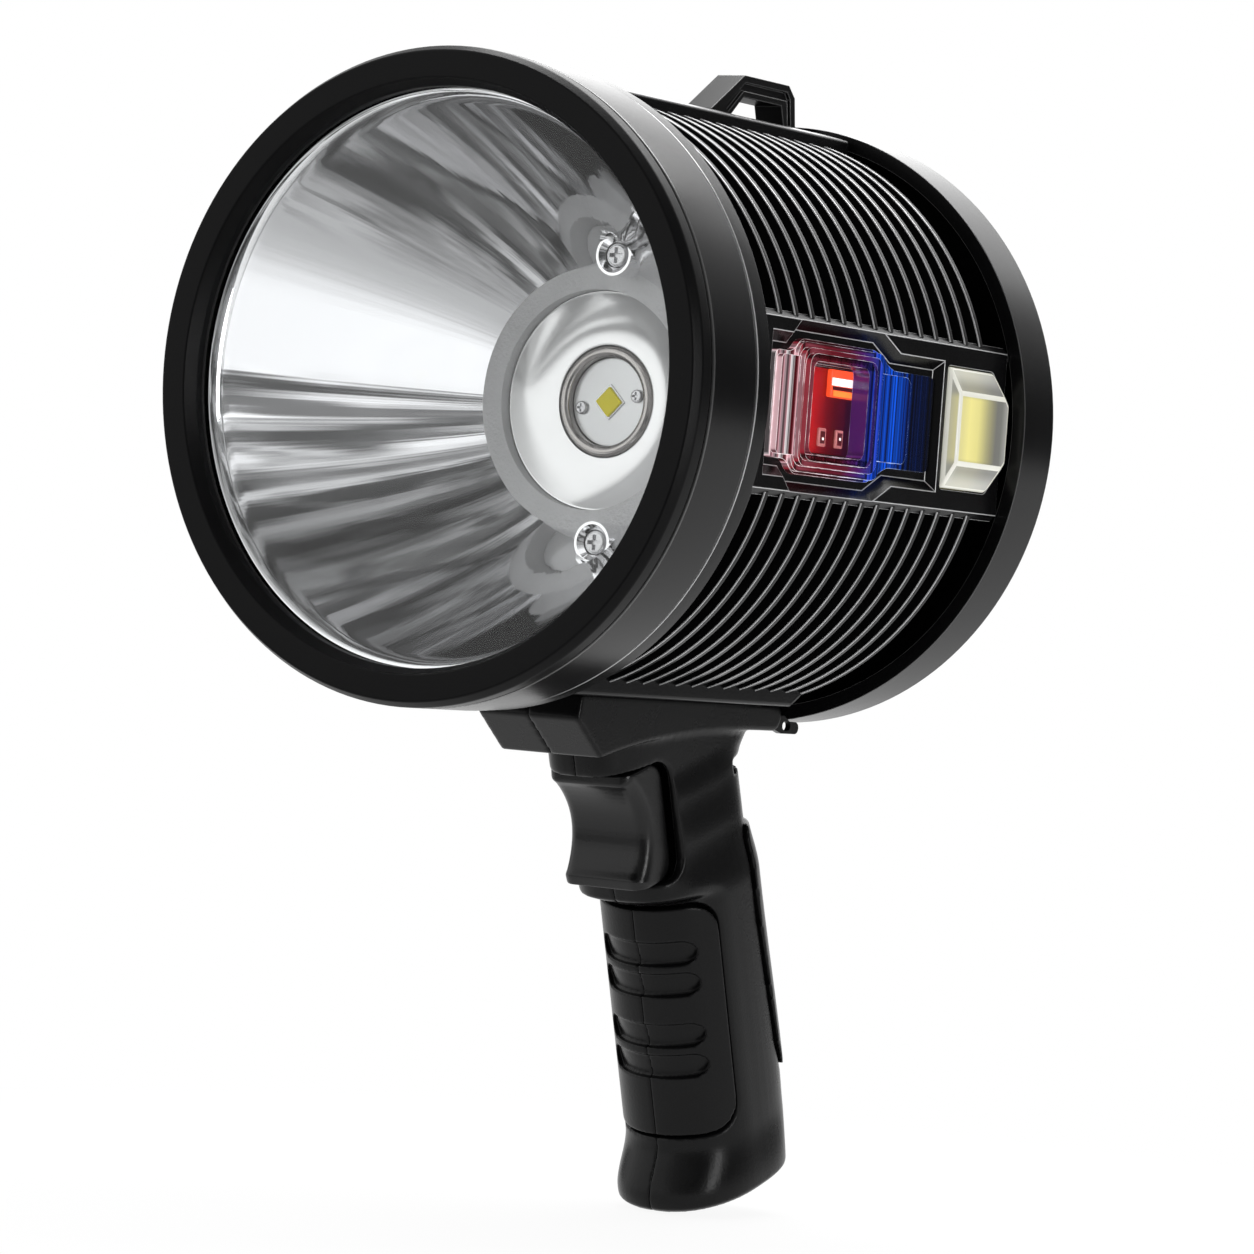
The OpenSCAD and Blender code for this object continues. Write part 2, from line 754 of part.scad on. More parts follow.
saddle_screw_x = 7;
saddle_screw_inset = 12;
saddle_screw_floor = 1;
saddle_screw_cover = 1.5;
saddle_screw_seat = core_in_r + saddle_screw_floor;
saddle_screw_tip = keel_z + saddle_rear_h - saddle_screw_cover;
driver_slack = 0.4;
rear_boss_r = 5;
rear_boss_len = 14;
rear_bite = 10;
well_inset = 2;
loop_slack = 0.5;

module at_saddle_screws() {
    for (side = [-1, 1], place = [saddle_y + saddle_screw_inset, saddle_end - saddle_screw_inset])
        translate([side * saddle_screw_x, place, 0]) children();
}

module finned_barrel() {
    rail_z = fin_r / 2;
    post_from = bulkhead_end - lap;
    boss_from = barrel_end - rear_boss_len;
    color("#1c1c1c") placed() difference() {
        union() {
            difference() {
                union() {
                    along_head(spigot_y) cylinder(r = skirt_r, h = flange_y - spigot_y + skin, $fn = 180);
                    along_head(flange_y) cylinder(r = flange_r, h = flange_len, $fn = 180);
                    along_head(flange_end - skin) cylinder(r = core_r, h = barrel_len + skin, $fn = 180);
                    for (i = [0 : fin_count - 1]) {
                        along_head(flange_end + fin_lead + i * fin_pitch - fin_t / 2)
                            cylinder(r = fin_r, h = fin_t, $fn = 180);
                    }
                    intersection() {
                        along_head(flange_end)
                            cylinder(r = top_rail_r, h = top_rail_end - flange_end, $fn = 180);
                        span([-top_rail_half, flange_end, rail_z], [top_rail_half, top_rail_end, top_rail_r]);
                    }
                    keel();
                    side_panel();
                    mirror([1, 0, 0]) side_panel();
                }
                barrel_hollow();
                for (side = [0, 1]) mirror([side, 0, 0])
                    span([panel_x, flange_end, -panel_half], [far, barrel_end, panel_half]);
                span([-keel_half, flange_end, -far], [keel_half, barrel_end, -keel_z]);
                span([-loop_half - loop_slack, loop_y - lap, loop_z], [loop_half + loop_slack, far, far]);
                across(floor_x, far) beacon_outline(0);
                span([well_x, beacon_y + well_inset, -well_half],
                    [far, beacon_y + beacon_len - well_inset, well_half]);
                across(lamp_floor_x, far) lamp_outline(-fit_gap, 0);
            }
            for (sx = [-1, 1], sz = [-1, 1])
                translate([sx * post_x, post_from, sz * post_z]) rotate([-90, 0, 0])
                    cylinder(r = post_r, h = tray_y - post_from);
            intersection() {
                along_head(boss_from) cylinder(r = core_in_r + lap, h = rear_boss_len, $fn = 180);
                at_rear_screws() along_head(boss_from) cylinder(r = rear_boss_r, h = rear_boss_len);
            }
        }
        along_head(bulkhead_depth - lap) cylinder(r = wire_hole_r, h = bulkhead_t + 2 * lap, $fn = 32);
        at_rear_screws() along_head(barrel_end - rear_bite - 2 * lap)
            cylinder(r = screw_r + screw_gap, h = far, $fn = 32);
        at_saddle_screws() translate([0, 0, -saddle_screw_seat])
            cylinder(r = screw_head_r + driver_slack, h = saddle_screw_seat / 2, $fn = 32);
        at_saddle_screws() translate([0, 0, -far])
            cylinder(r = screw_r + screw_gap, h = far - saddle_screw_seat + lap, $fn = 32);
    }
}

// The stepped shell of the beacon's lens, shrunk by a wall
module beacon_body(wall) {
    top = floor_x + beacon_rise - wall;
    step = floor_x + beacon_step - wall;
    high = recess_middle_half - beacon_margin - wall;
    front = beacon_y + dome_y + wall;
    rear = front + dome_len - 2 * wall;
    low_half = recess_front_half - beacon_margin - wall;
    step_inset = 1;
    rear_half = recess_rear_half - beacon_margin - step_inset - wall;
    hull() {
        span([floor_x, front, -high], [floor_x + skin, rear, high]);
        span([top - skin, front + beacon_lean, beacon_lean - high],
            [top, rear - beacon_lean, high - beacon_lean]);
    }
    span([floor_x, beacon_y + wall, -low_half], [step, front + skin, low_half]);
    span([floor_x, rear - skin, -rear_half], [step, rear + beacon_lean + beacon_step_len, rear_half]);
}

module beacon_lens() {
    color("#d03040", 0.5) placed() difference() {
        union() {
            across(floor_x, floor_x + beacon_foot) beacon_outline(beacon_margin);
            beacon_body(0);
        }
        intersection() {
            translate([-skin, 0, 0]) beacon_body(beacon_wall);
            span([0, beacon_y, -well_half], [far, beacon_y + beacon_len, well_half]);
        }
    }
}

board_inset = 2.4;
board_slack = 0.4;
light_inset = 0.5;
light_share = 0.7;
blue_inset = 13.7;
resistor_t = 0.7;
resistor_w = 3;
resistor_h = 4;
resistor_place = 3.9;
board_front = beacon_y + board_inset;
board_rear = beacon_y + beacon_len - board_inset;
light_x = well_x + thin_board_t;
light_y = beacon_y + dome_y + dome_len * light_share;

module beacon_board() {
    half = well_half - board_slack;
    color("#3a1014") placed()
        span([well_x, board_front, -half], [light_x, board_rear, half]);
}

module beacon_light(y, z) {
    span([light_x, y - beacon_led_len / 2, z - beacon_led_h / 2],
        [light_x + beacon_led_t, y + beacon_led_len / 2, z + beacon_led_h / 2]);
}

module red_light() {
    color("#e83018") placed() beacon_light(light_y, well_half - beacon_led_h / 2 - light_inset);
}

module blue_light() {
    color("#2040e0") placed() beacon_light(board_rear - blue_inset, 0);
}

module beacon_resistors() {
    color("#40282a") placed() for (i = [-1 : 1])
        translate([light_x + resistor_t / 2, light_y + i * resistor_pitch, resistor_place - well_half])
            cube([resistor_t, resistor_w, resistor_h], center = true);
}

module side_lamp_lens() {
    color("#f4f0d0", 0.8) placed() difference() {
        union() {
            across(lamp_floor_x, panel_x) lamp_outline(0, 0);
            hull() {
                across(panel_x - skin, panel_x) lamp_outline(0, 0);
                across(panel_x + lamp_rise - skin, panel_x + lamp_rise)
                    lamp_outline(lamp_wall, lamp_slope - lamp_wall);
            }
        }
        across(lamp_floor_x - lap, panel_x) lamp_outline(lamp_wall, 0);
    }
}

module side_lamp_board() {
    color("#f2ea70") placed() across(lamp_floor_x, lamp_floor_x + thin_board_t)
        lamp_outline(lamp_wall + fit_gap, 0);
}

module carry_loop() {
    top = loop_z + loop_h;
    under = top - loop_bar;
    bar_front = loop_y + loop_slope;
    toe = 1.3;
    bevel = 2.6;
    crown = 1.4;
    leg_lean = 1.2;
    foot_web = 0.4;
    leg_web = 1.7;
    channel_depth = 0.9;
    channel_w = 1.5;
    channel_cover = 1.9;
    channel_lead = 5.2;
    channel_rise = 1.4;
    channel_top = top - channel_cover;
    channel_low = channel_top - channel_w;
    channel_y = loop_y + channel_lead;
    channel_z = loop_z + channel_rise;
    channel_end = loop_end - channel_lead;
    leg_y = loop_end - loop_leg;
    foot_y = loop_y + loop_foot;
    color("#161616") placed() difference() {
        across(-loop_half, loop_half) polygon([
            [loop_y, loop_z], [loop_y, loop_z + toe], [bar_front, top], [loop_end - bevel - crown, top],
            [loop_end - leg_lean, top - bevel], [loop_end, loop_z]
        ]);
        across(-far, far) polygon([
            [foot_y, loop_z - lap], [foot_y, loop_z + foot_web], [bar_front, under],
            [leg_y - leg_web, under], [leg_y, loop_z + foot_web], [leg_y, loop_z - lap]
        ]);
        for (side = [0, 1]) mirror([side, 0, 0]) across(loop_half - channel_depth, far) polygon([
            [channel_y, channel_z + channel_w], [bar_front, channel_top], [channel_end, channel_top],
            [channel_end, channel_low], [bar_front, channel_low], [channel_y + channel_w, channel_z]
        ]);
    }
}

rear_sink = 0.6;
rear_seat = head_len - screw_head_h - rear_sink;

module rear_cover() {
    back_y = head_len - back_t;
    shroud_r = rear_r - shroud_wall;
    hole_r = screw_r + screw_gap;
    color("#181818") placed() difference() {
        turned([
            [shroud_r, rear_y], [rear_r, rear_y],
            [rear_r, head_len - rear_bevel], [rear_r - rear_bevel, head_len],
            [0, head_len], [0, back_y], [clamp_in_r, back_y], [clamp_in_r, clamp_y], [core_r, clamp_y],
            [core_r, back_y], [shroud_r, back_y]
        ]);
        at_rear_screws() along_head(clamp_y - lap) cylinder(r = hole_r, h = far, $fn = 32);
        at_rear_screws() along_head(rear_seat) cylinder(r = screw_head_r + screw_gap, h = far, $fn = 32);
    }
}

module rear_seal() {
    edge = 0.4;
    color("#0c0c0c") placed() turned([
        [core_in_r + edge, barrel_end], [core_r - edge, barrel_end],
        [core_r - edge, clamp_y], [core_in_r + edge, clamp_y]
    ]);
}

module rear_screws() {
    tip = barrel_end - rear_bite;
    color("#707274") placed() at_rear_screws() translate([0, tip, 0]) rotate([-90, 0, 0])
        screw(screw_r, screw_head_r, screw_head_h, rear_seat - tip);
}

module driver_board() {
    face = bulkhead_end + driver_t;
    can_r = 6;
    can_x = -driver_w / 4;
    can_z = driver_h / 4;
    coil_w = 10;
    coil_h = 7;
    coil_t = 3;
    chip_x = driver_w / 4;
    chip_t = 2.4;
    low_z = -driver_h / 3;
    color("#1d5a34") placed() {
        difference() {
            span([-driver_w / 2, bulkhead_end, -driver_h / 2], [driver_w / 2, face, driver_h / 2]);
            along_head(bulkhead_end - lap) cylinder(r = wire_hole_r, h = far, $fn = 32);
        }
        translate([can_x, face - skin, can_z]) rotate([-90, 0, 0]) cylinder(r = can_r, h = can_r);
        translate([can_x - coil_w / 2, face - skin, low_z]) cube([coil_w, coil_t, coil_h]);
        translate([chip_x - coil_w / 2, face - skin, low_z]) cube([coil_w, chip_t, coil_h]);
    }
}

module battery_tray() {
    half = cell_len / 2 + cell_slack;
    wall = tray_t;
    color("#2a2a2c") placed() difference() {
        span([-tray_half, tray_y, -half - wall], [tray_half, tray_y + wall + cell_r, half + wall]);
        span([-tray_half + wall, tray_y + wall, -half], [tray_half - wall, far, half]);
    }
}

module battery_cells() {
    first = -(cell_count - 1) / 2;
    tip = 1;
    color("#3566a8") placed() for (i = [0 : cell_count - 1])
        translate([(first + i) * cell_pitch, tray_y + tray_t + cell_r, -cell_len / 2]) {
            cylinder(r = cell_r, h = cell_len - tip);
            translate([0, 0, cell_len - tip - skin]) cylinder(r = cell_r / 3, h = tip);
        }
}

sides = 32;
round_grip = 2;
round_foot = 2.3;
round_lip = 2.6;
round_rear = 2.8;
round_neck = 3;
round_visor = 3.2;
square_front = 4;
pad_land = 0.4;
waist_rise = 2.3;
waist_level = waist_rise - rear_pad_top;
waist_inset = 1.4;
frame_gap = 0.5;

function bend(value, power) = sign(value) * pow(abs(value), 2 / power);

// One closed outline across the grip: a level, its front, its rear, its half width and two roundings
function section(level, front, rear, half, front_power, rear_power) = [
    for (i = [0 : sides - 1])
        let (turn = 360 * i / sides, power = i > sides / 2 ? front_power : rear_power)
        let (reach = i > sides / 2 ? grip_axis + front : rear - grip_axis)
        [half * bend(cos(turn), power), grip_axis + reach * bend(sin(turn), power), level]
];

// A closed solid through a list of outlines, from the lowest to the highest
module loft(rings) {
    last = len(rings) - 1;
    points = [for (ring = rings) each ring];
    walls = [for (r = [0 : last - 1], i = [0 : sides - 1])
        let (a = r * sides + i, b = r * sides + (i + 1) % sides)
        each [[a, b + sides, b], [a, a + sides, b + sides]]];
    caps = [[for (i = [0 : sides - 1]) i], [for (i = [sides - 1 : -1 : 0]) last * sides + i]];
    polyhedron(points, concat(walls, caps));
}

grip_front = grip_half - grip_axis;
foot_top = -grip_len + foot_len;

// The straight part of the grip, grown by a skin
module grip_middle(grow) {
    front = grip_front + grow;
    half = grip_half + grow;
    loft([
        section(foot_top - pad_land, front, grip_rear_low + grow, half, round_grip, round_rear),
        section(-front_pad_top - pad_land, front, grip_rear_top + grow, half, round_grip, round_rear),
        section(waist_level, front, grip_rear_waist + grow, half - waist_inset, round_grip, round_rear)
    ]);
}

heel_in = 2.8;

// Rear of the foot at a height above its sole
function foot_rear(rise) = grip_rear_low - heel_in * (1 - rise / foot_len);

module grip_body() {
    shelf = trigger_top + frame_gap;
    step = -trigger_bottom - frame_gap;
    lip_low = step - lip_h;
    lip_blend = 1.6;
    lip_in = 0.4;
    flare = grip_front + foot_flare;
    foot_front = flare - foot_flare / 2;
    foot_round = 0.9;
    foot_edge = 3.2;
    foot_mid = 8.4;
    foot_blend = 7;
    foot_swell = 0.8;
    foot_half = grip_half + foot_swell;
    frame_half = grip_half - 2 * lip_in;
    lip_rear = grip_rear_top - lip_in;
    neck_swell = 9;
    brow_swell = 2.5;
    notch_swell = 0.9;
    notch_rise = 1.2;
    notch_rear = grip_rear_waist + notch_swell;
    brow_rear = grip_rear_waist + brow_swell;
    neck_rear = grip_rear_waist + neck_swell;
    notch_level = notch_rise - socket_place;
    brow_level = -3.3;
    crest_level = 1.5;
    neck_top = 22;
    loft([
        section(-grip_len, flare - foot_round, foot_rear(0) - foot_round, grip_half, round_foot, round_rear),
        section(foot_round - grip_len, flare, foot_rear(foot_round), foot_half, round_foot, round_rear),
        section(foot_edge - grip_len, flare, foot_rear(foot_edge), foot_half, round_foot, round_rear),
        section(foot_mid - grip_len, foot_front, foot_rear(foot_mid), foot_half, round_foot, round_rear),
        section(foot_top, grip_front + pad_land, grip_rear_low, grip_half, round_grip, round_rear),
        section(foot_top + foot_blend, grip_front, grip_rear_low, grip_half, round_grip, round_rear),
        section(-front_pad_top - pad_land, grip_front, grip_rear_top, grip_half, round_grip, round_rear),
        section(lip_low - lip_blend, grip_front + frame_gap, grip_rear_top, grip_half, round_grip, round_rear),
        section(lip_low, lip_front, lip_rear, grip_half - lip_in, round_lip, round_rear),
        section(step, lip_front, lip_rear, frame_half, round_neck, round_rear),
        section(step + lip_in, frame_front, lip_rear, frame_half, square_front, round_rear),
        section(waist_level, frame_front, grip_rear_waist, grip_half - waist_inset, square_front, round_rear),
        section(notch_level, frame_front, notch_rear, neck_half + frame_gap, square_front, round_neck),
        section(brow_level, frame_front, brow_rear, neck_half + lip_in, square_front, round_neck),
        section(crest_level, frame_front, neck_rear - frame_gap, neck_half, square_front, round_neck),
        section(shelf - lip_in, frame_front, neck_rear, neck_half, square_front, round_neck),
        section(shelf, visor_front - frame_gap, neck_rear, neck_half, round_visor, round_neck),
        section(shelf + 2 * frame_gap, visor_front, neck_rear, neck_half, round_visor, round_neck),
        section(neck_top, visor_front, neck_rear, neck_half, round_visor, round_neck)
    ]);
}

// Side outline of the saddle in depth and height
module saddle_outline() {
    nose_lean = 0.9;
    edge = 1.2;
    nose = saddle_y - nose_lean;
    slant_y = nose + saddle_slant_len;
    slant_z = -keel_z - saddle_nose_h - saddle_slant_h;
    rear_z = -keel_z - saddle_rear_h;
    round_y = saddle_end - saddle_round;
    round_z = rear_z + saddle_round;
    arch = 6;
    arch_power = 2.4;
    under = [for (i = [0 : arch])
        let (t = i / arch)
        [slant_y + (round_y - slant_y) * t, rear_z + (slant_z - rear_z) * pow(1 - t, arch_power)]];
    corner = [for (turn = [30 : 30 : 90])
        [round_y + saddle_round * sin(turn), round_z - saddle_round * cos(turn)]];
    polygon(concat(
        [[saddle_y, -keel_z], [nose, -keel_z - saddle_nose_h]],
        under,
        corner,
        [[saddle_end, -keel_z - edge], [saddle_end - edge, -keel_z]]
    ));
}

eye_inset = 0.3;
eye_gap = 0.4;
eye_drop = 0.5;
eye_wall = 0.75;
eye_x = saddle_half - eye_inset - eye_t;
eye_y = saddle_end + eye_reach;
eye_low = -keel_z - saddle_rear_h - eye_drop;
eye_z = eye_low + eye_wall + eye_hole_r;

// A lug behind the saddle that passes under the rear cover
module strap_eye() {
    top = eye_low + eye_h;
    root = saddle_end - saddle_round;
    tail_top = -sqrt(rear_r * rear_r - eye_x * eye_x) - eye_gap;
    tail_r = (tail_top - eye_low) / 2;
    tail_end = saddle_end + eye_len - tail_r;
    tail_y = min(rear_y - eye_gap, tail_end - tail_r);
    across(eye_x, eye_x + eye_t) {
        polygon([
            [root, top], [root, eye_low + eye_hole_r], [eye_y - 2 * eye_hole_r, eye_low], [tail_end, eye_low],
            [tail_end, tail_top], [tail_y, tail_top], [eye_y - eye_hole_r, top]
        ]);
        translate([tail_end, tail_top - tail_r]) circle(r = tail_r, $fn = 32);
    }
}

module front_pad_outline(gap) {
    corner = front_pad_corner;
    rear = -front_pad_edge + gap;
    top = -front_pad_top + gap;
    low = -front_pad_low - gap;
    polygon([[-far, low], [rear - corner, low], [rear - corner, top], [-far, top]]);
    translate([rear - corner - lap, low + corner]) square([corner + lap, top - low - 2 * corner]);
    for (level = [low + corner, top - corner]) translate([rear - corner, level]) circle(r = corner);
}

module rear_pad_outline(gap) {
    top = -rear_pad_top + gap;
    low = -rear_pad_low - gap;
    top_run = 2;
    top_clip = 3;
    low_run = 3.4;
    low_clip = 5;
    polygon([
        [rear_pad_edge_top - gap, top - top_clip], [rear_pad_edge_top + top_run, top], [far, top], [far, low],
        [rear_pad_edge_low + low_run, low], [rear_pad_edge_low - gap, low + low_clip]
    ]);
}

screw_v = 8;
upper_screw_v = 12;
upper_screw_rise = 9.6;
screw_below = 3.4;
foot_screw_rise = 10.6;
screw_places = [
    [screw_v, -front_pad_top - screw_below],
    [screw_v, foot_screw_rise - grip_len],
    [upper_screw_v, upper_screw_rise - front_pad_top]
];
grip_screw_seat = 9;
grip_screw_bite = 7;
saddle_floor = 1;

module at_grip_screws() {
    for (place = screw_places) raked() translate([0, place[0], place[1]]) rotate([0, 90, 0]) children();
}

module socket_outline(gap) {
    half = socket_w / 2 - socket_h / 2;
    square([2 * half, socket_h + 2 * gap], center = true);
    for (side = [-1, 1]) translate([side * half, 0]) circle(r = socket_h / 2 + gap, $fn = 32);
}

module socket_bar(from, to, gap) {
    raked() translate([0, from, -socket_place]) rotate([-90, 0, 0])
        linear_extrude(to - from) socket_outline(gap);
}

notch_depth = 1.6;
notch_gap = 0.9;
socket_gap = 0.1;
socket_rear = grip_rear_waist - notch_depth;

pocket_side = 2.5;
pocket_end = 3;
block_gap = 0.5;
hollow_wall = 5.5;
hollow_front = 8.5;
hollow_rear = 18;
hollow_top = 39;
hollow_low = 88;

// What is cut out of both halves of the grip
module grip_cuts() {
    gap = trigger_gap;
    end = stem_end - trigger_travel - gap;
    raked() {
        span([-trigger_half - gap, -far, -trigger_bottom - gap],
            [trigger_half + gap, -trigger_rear + trigger_travel + gap, trigger_top + gap]);
        span([-trigger_half + pocket_side, -far, -trigger_bottom + pocket_end],
            [trigger_half - pocket_side, -stem_front + trigger_travel + gap, trigger_top - pocket_end]);
        span([-stem_half - gap, -far, stem_low - gap], [stem_half + gap, -end, stem_top + gap]);
        translate([0, -stem_front, (stem_low + stem_top) / 2]) rotate([-90, 0, 0])
            cylinder(r = plunger_r + gap, h = switch_v + stem_front + lap, $fn = 32);
        span([-switch_half - switch_gap, switch_v - switch_gap, switch_low - switch_gap],
            [switch_half + switch_gap, switch_v + switch_len + switch_gap, switch_low + switch_h + switch_gap]);
        difference() {
            across(-far, far) front_pad_outline(pad_gap);
            translate([0, grip_axis, -far]) cylinder(r = grip_half - pad_t - pad_gap, h = far);
        }
        difference() {
            across(-far, far) rear_pad_outline(pad_gap);
            grip_middle(-pad_t - pad_gap);
        }
        hollow_half = grip_half - hollow_wall;
        span([-hollow_half, -hollow_front, -hollow_low], [hollow_half, hollow_rear, -hollow_top]);
    }
    socket_bar(socket_rear - socket_len, far, socket_gap);
    socket_bar(socket_rear, far, notch_gap);
    at_saddle_screws() translate([0, 0, -saddle_screw_tip - stop_gap])
        cylinder(r = screw_r + screw_gap, h = far, $fn = 32);
}

module grip_whole() {
    intersection() {
        raked() grip_body();
        span([-far, -far, -far], [far, far, -keel_z - saddle_floor]);
    }
    across(-saddle_half, saddle_half) saddle_outline();
}

module grip_shell_right() {
    color("#141414") placed() difference() {
        union() {
            intersection() {
                grip_whole();
                span([0, -far, -far], [far, far, far]);
            }
            strap_eye();
        }
        grip_cuts();
        at_grip_screws() translate([0, 0, -lap])
            cylinder(r = screw_r + screw_gap, h = grip_screw_bite + 2 * lap, $fn = 32);
        translate([eye_x - lap, eye_y, eye_z]) rotate([0, 90, 0])
            cylinder(r = eye_hole_r, h = eye_t + 2 * lap, $fn = 32);
    }
}

module grip_shell_left() {
    color("#141414") placed() difference() {
        intersection() {
            grip_whole();
            span([-far, -far, -far], [0, far, far]);
        }
        grip_cuts();
        at_grip_screws() translate([0, 0, -far]) cylinder(r = screw_r + screw_gap, h = far + lap, $fn = 32);
        at_grip_screws() translate([0, 0, -far])
            cylinder(r = screw_head_r + screw_gap, h = far - grip_screw_seat, $fn = 32);
    }
}

module grip_screws() {
    color("#606264") placed() at_grip_screws() translate([0, 0, grip_screw_bite]) rotate([180, 0, 0])
        screw(screw_r, screw_head_r, screw_head_h, grip_screw_seat + grip_screw_bite);
}

module saddle_screws() {
    color("#606264") placed() at_saddle_screws() translate([0, 0, -saddle_screw_tip])
        screw(screw_r, screw_head_r, screw_head_h, saddle_screw_tip - saddle_screw_seat);
}

// The trigger's hollow front, turned round the axis of the finger
module finger_front() {
    centre_v = finger_depth - trigger_front - finger_r;
    flat = trigger_half - trigger_round;
    translate([0, centre_v, -finger_place]) rotate([0, 90, 0]) rotate_extrude($fn = 180) {
        translate([finger_r, -flat]) square([far / 2, 2 * flat]);
        translate([finger_r + trigger_round, -trigger_half]) square([far / 2, 2 * trigger_half]);
        for (side = [-1, 1]) translate([finger_r + trigger_round, side * flat]) circle(r = trigger_round);
    }
}

module trigger() {
    side = trigger_half - pocket_side - block_gap;
    inset = pocket_end + block_gap;
    color("#121212") placed() raked() {
        intersection() {
            finger_front();
            span([-trigger_half, -trigger_front, -trigger_bottom], [trigger_half, -trigger_rear, trigger_top]);
        }
        span([-side, -trigger_rear - skin, inset - trigger_bottom], [side, -stem_front, trigger_top - inset]);
        span([-stem_half, -stem_front - skin, stem_low], [stem_half, -stem_end, stem_top]);
    }
}

module switch_plunger() {
    color("#b04030") placed() raked() translate([0, -stem_end, (stem_low + stem_top) / 2]) rotate([-90, 0, 0])
        cylinder(r = plunger_r, h = stem_end + switch_v + plunger_reach, $fn = 32);
}

module trigger_switch() {
    depth = plunger_reach + trigger_travel + stop_gap;
    color("#202024") placed() raked() difference() {
        span([-switch_half, switch_v, switch_low], [switch_half, switch_v + switch_len, switch_low + switch_h]);
        translate([0, switch_v - lap, (stem_low + stem_top) / 2]) rotate([-90, 0, 0])
            cylinder(r = plunger_r + switch_gap, h = depth + lap, $fn = 32);
    }
}

rib_tops = [for (pair = [0, 1], i = [0, 1]) rib_top + pair * rib_pair_pitch + i * rib_pitch];

// One finger groove that deepens towards its lower edge
module finger_groove(top) {
    round = rib_h / 2;
    skin_r = grip_half + front_pad_proud;
    difference() {
        translate([0, grip_axis, 0]) rotate([90, 0, 0]) linear_extrude(far) {
            translate([-rib_half + round, -top - rib_h]) square([2 * (rib_half - round), rib_h]);
            for (side = [-1, 1])
                translate([side * (rib_half - round), -top - round]) circle(r = round, $fn = 48);
        }
        translate([0, grip_axis, -top - rib_h]) cylinder(r1 = skin_r - rib_depth, r2 = skin_r, h = rib_h);
    }
}

module front_grip_pad() {
    color("#101010") placed() raked() difference() {
        intersection() {
            translate([0, grip_axis, -grip_len]) cylinder(r = grip_half + front_pad_proud, h = grip_len);
            across(-far, far) front_pad_outline(0);
        }
        translate([0, grip_axis, -far]) cylinder(r = grip_half - pad_t, h = far);
        for (top = rib_tops) finger_groove(top);
    }
}

module rear_grip_pad() {
    color("#101010") placed() raked() difference() {
        intersection() {
            grip_middle(rear_pad_proud);
            across(-far, far) rear_pad_outline(0);
        }
        grip_middle(-pad_t);
    }
}

module charge_socket() {
    wall = 0.5;
    back = 1.5;
    color("#8a8c8e") placed() difference() {
        socket_bar(socket_rear - socket_len + socket_gap, socket_rear - 2 * socket_gap, 0);
        socket_bar(socket_rear - socket_len + back, far, -wall);
    }
}

bezel_ring();
lens_seal();
front_lens();
reflector();
reflector_screws();
heat_sink();
emitter_dish();
emitter_retainer();
emitter_board();
emitter_chip();
board_screws();
front_collar();
finned_barrel();
beacon_lens();
beacon_board();
red_light();
blue_light();
beacon_resistors();
side_lamp_lens();
side_lamp_board();
carry_loop();
rear_cover();
rear_seal();
rear_screws();
driver_board();
battery_tray();
battery_cells();
grip_shell_right();
grip_shell_left();
grip_screws();
saddle_screws();
trigger();
switch_plunger();
trigger_switch();
front_grip_pad();
rear_grip_pad();
charge_socket();
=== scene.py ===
"""Looks of a pistol-grip searchlight: shells, lenses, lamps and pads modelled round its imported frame."""
import json
import math

import bpy
from mathutils import Matrix, Vector


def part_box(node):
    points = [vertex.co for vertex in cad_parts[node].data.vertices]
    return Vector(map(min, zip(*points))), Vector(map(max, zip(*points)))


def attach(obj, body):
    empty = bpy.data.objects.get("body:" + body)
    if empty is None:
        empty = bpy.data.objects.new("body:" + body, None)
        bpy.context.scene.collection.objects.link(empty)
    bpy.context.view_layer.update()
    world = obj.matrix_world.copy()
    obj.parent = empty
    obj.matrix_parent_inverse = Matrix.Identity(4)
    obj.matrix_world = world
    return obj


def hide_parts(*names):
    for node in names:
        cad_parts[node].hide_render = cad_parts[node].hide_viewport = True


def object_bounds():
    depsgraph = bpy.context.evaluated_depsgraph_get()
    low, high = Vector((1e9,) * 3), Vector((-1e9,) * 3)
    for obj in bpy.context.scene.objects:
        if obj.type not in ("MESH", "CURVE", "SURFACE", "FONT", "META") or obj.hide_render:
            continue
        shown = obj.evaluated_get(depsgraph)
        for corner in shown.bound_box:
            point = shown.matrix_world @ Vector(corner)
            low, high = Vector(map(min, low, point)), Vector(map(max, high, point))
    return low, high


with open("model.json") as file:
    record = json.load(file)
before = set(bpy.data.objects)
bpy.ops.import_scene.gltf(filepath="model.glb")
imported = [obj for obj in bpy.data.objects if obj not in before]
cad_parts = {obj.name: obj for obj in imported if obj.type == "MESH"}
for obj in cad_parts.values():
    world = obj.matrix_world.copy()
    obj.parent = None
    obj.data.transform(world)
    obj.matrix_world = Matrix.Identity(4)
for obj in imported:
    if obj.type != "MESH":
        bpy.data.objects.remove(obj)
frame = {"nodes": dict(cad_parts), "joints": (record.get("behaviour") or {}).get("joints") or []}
CAD_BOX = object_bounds()

bl_info = {
    "name": "Pistol-grip searchlight",
    "version": (1, 0, 0),
    "blender": (4, 5, 0),
    "location": "View3D > Sidebar > Searchlight",
    "description": "Models the visible pieces of a pistol-grip searchlight round its packed frame",
    "category": "Add Mesh",
}

MM = 0.001
WHOLE_TURN = 2 * math.pi
WELD = 1e-6
RING_STEPS = 160
SMOOTH_ANGLE = math.radians(38)
HEAD_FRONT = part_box("bezel_ring")[0].y
HOUSING = "housing"
TRIGGER = "trigger"
SCREW_RADIUS, SCREW_HEIGHT = 2.8 * MM, 2 * MM
FACE_FRONT = Matrix.Rotation(math.pi / 2, 4, "X")
FACE_BACK = Matrix.Rotation(-math.pi / 2, 4, "X")
NEST = 0.15 * MM
FINISH = {}


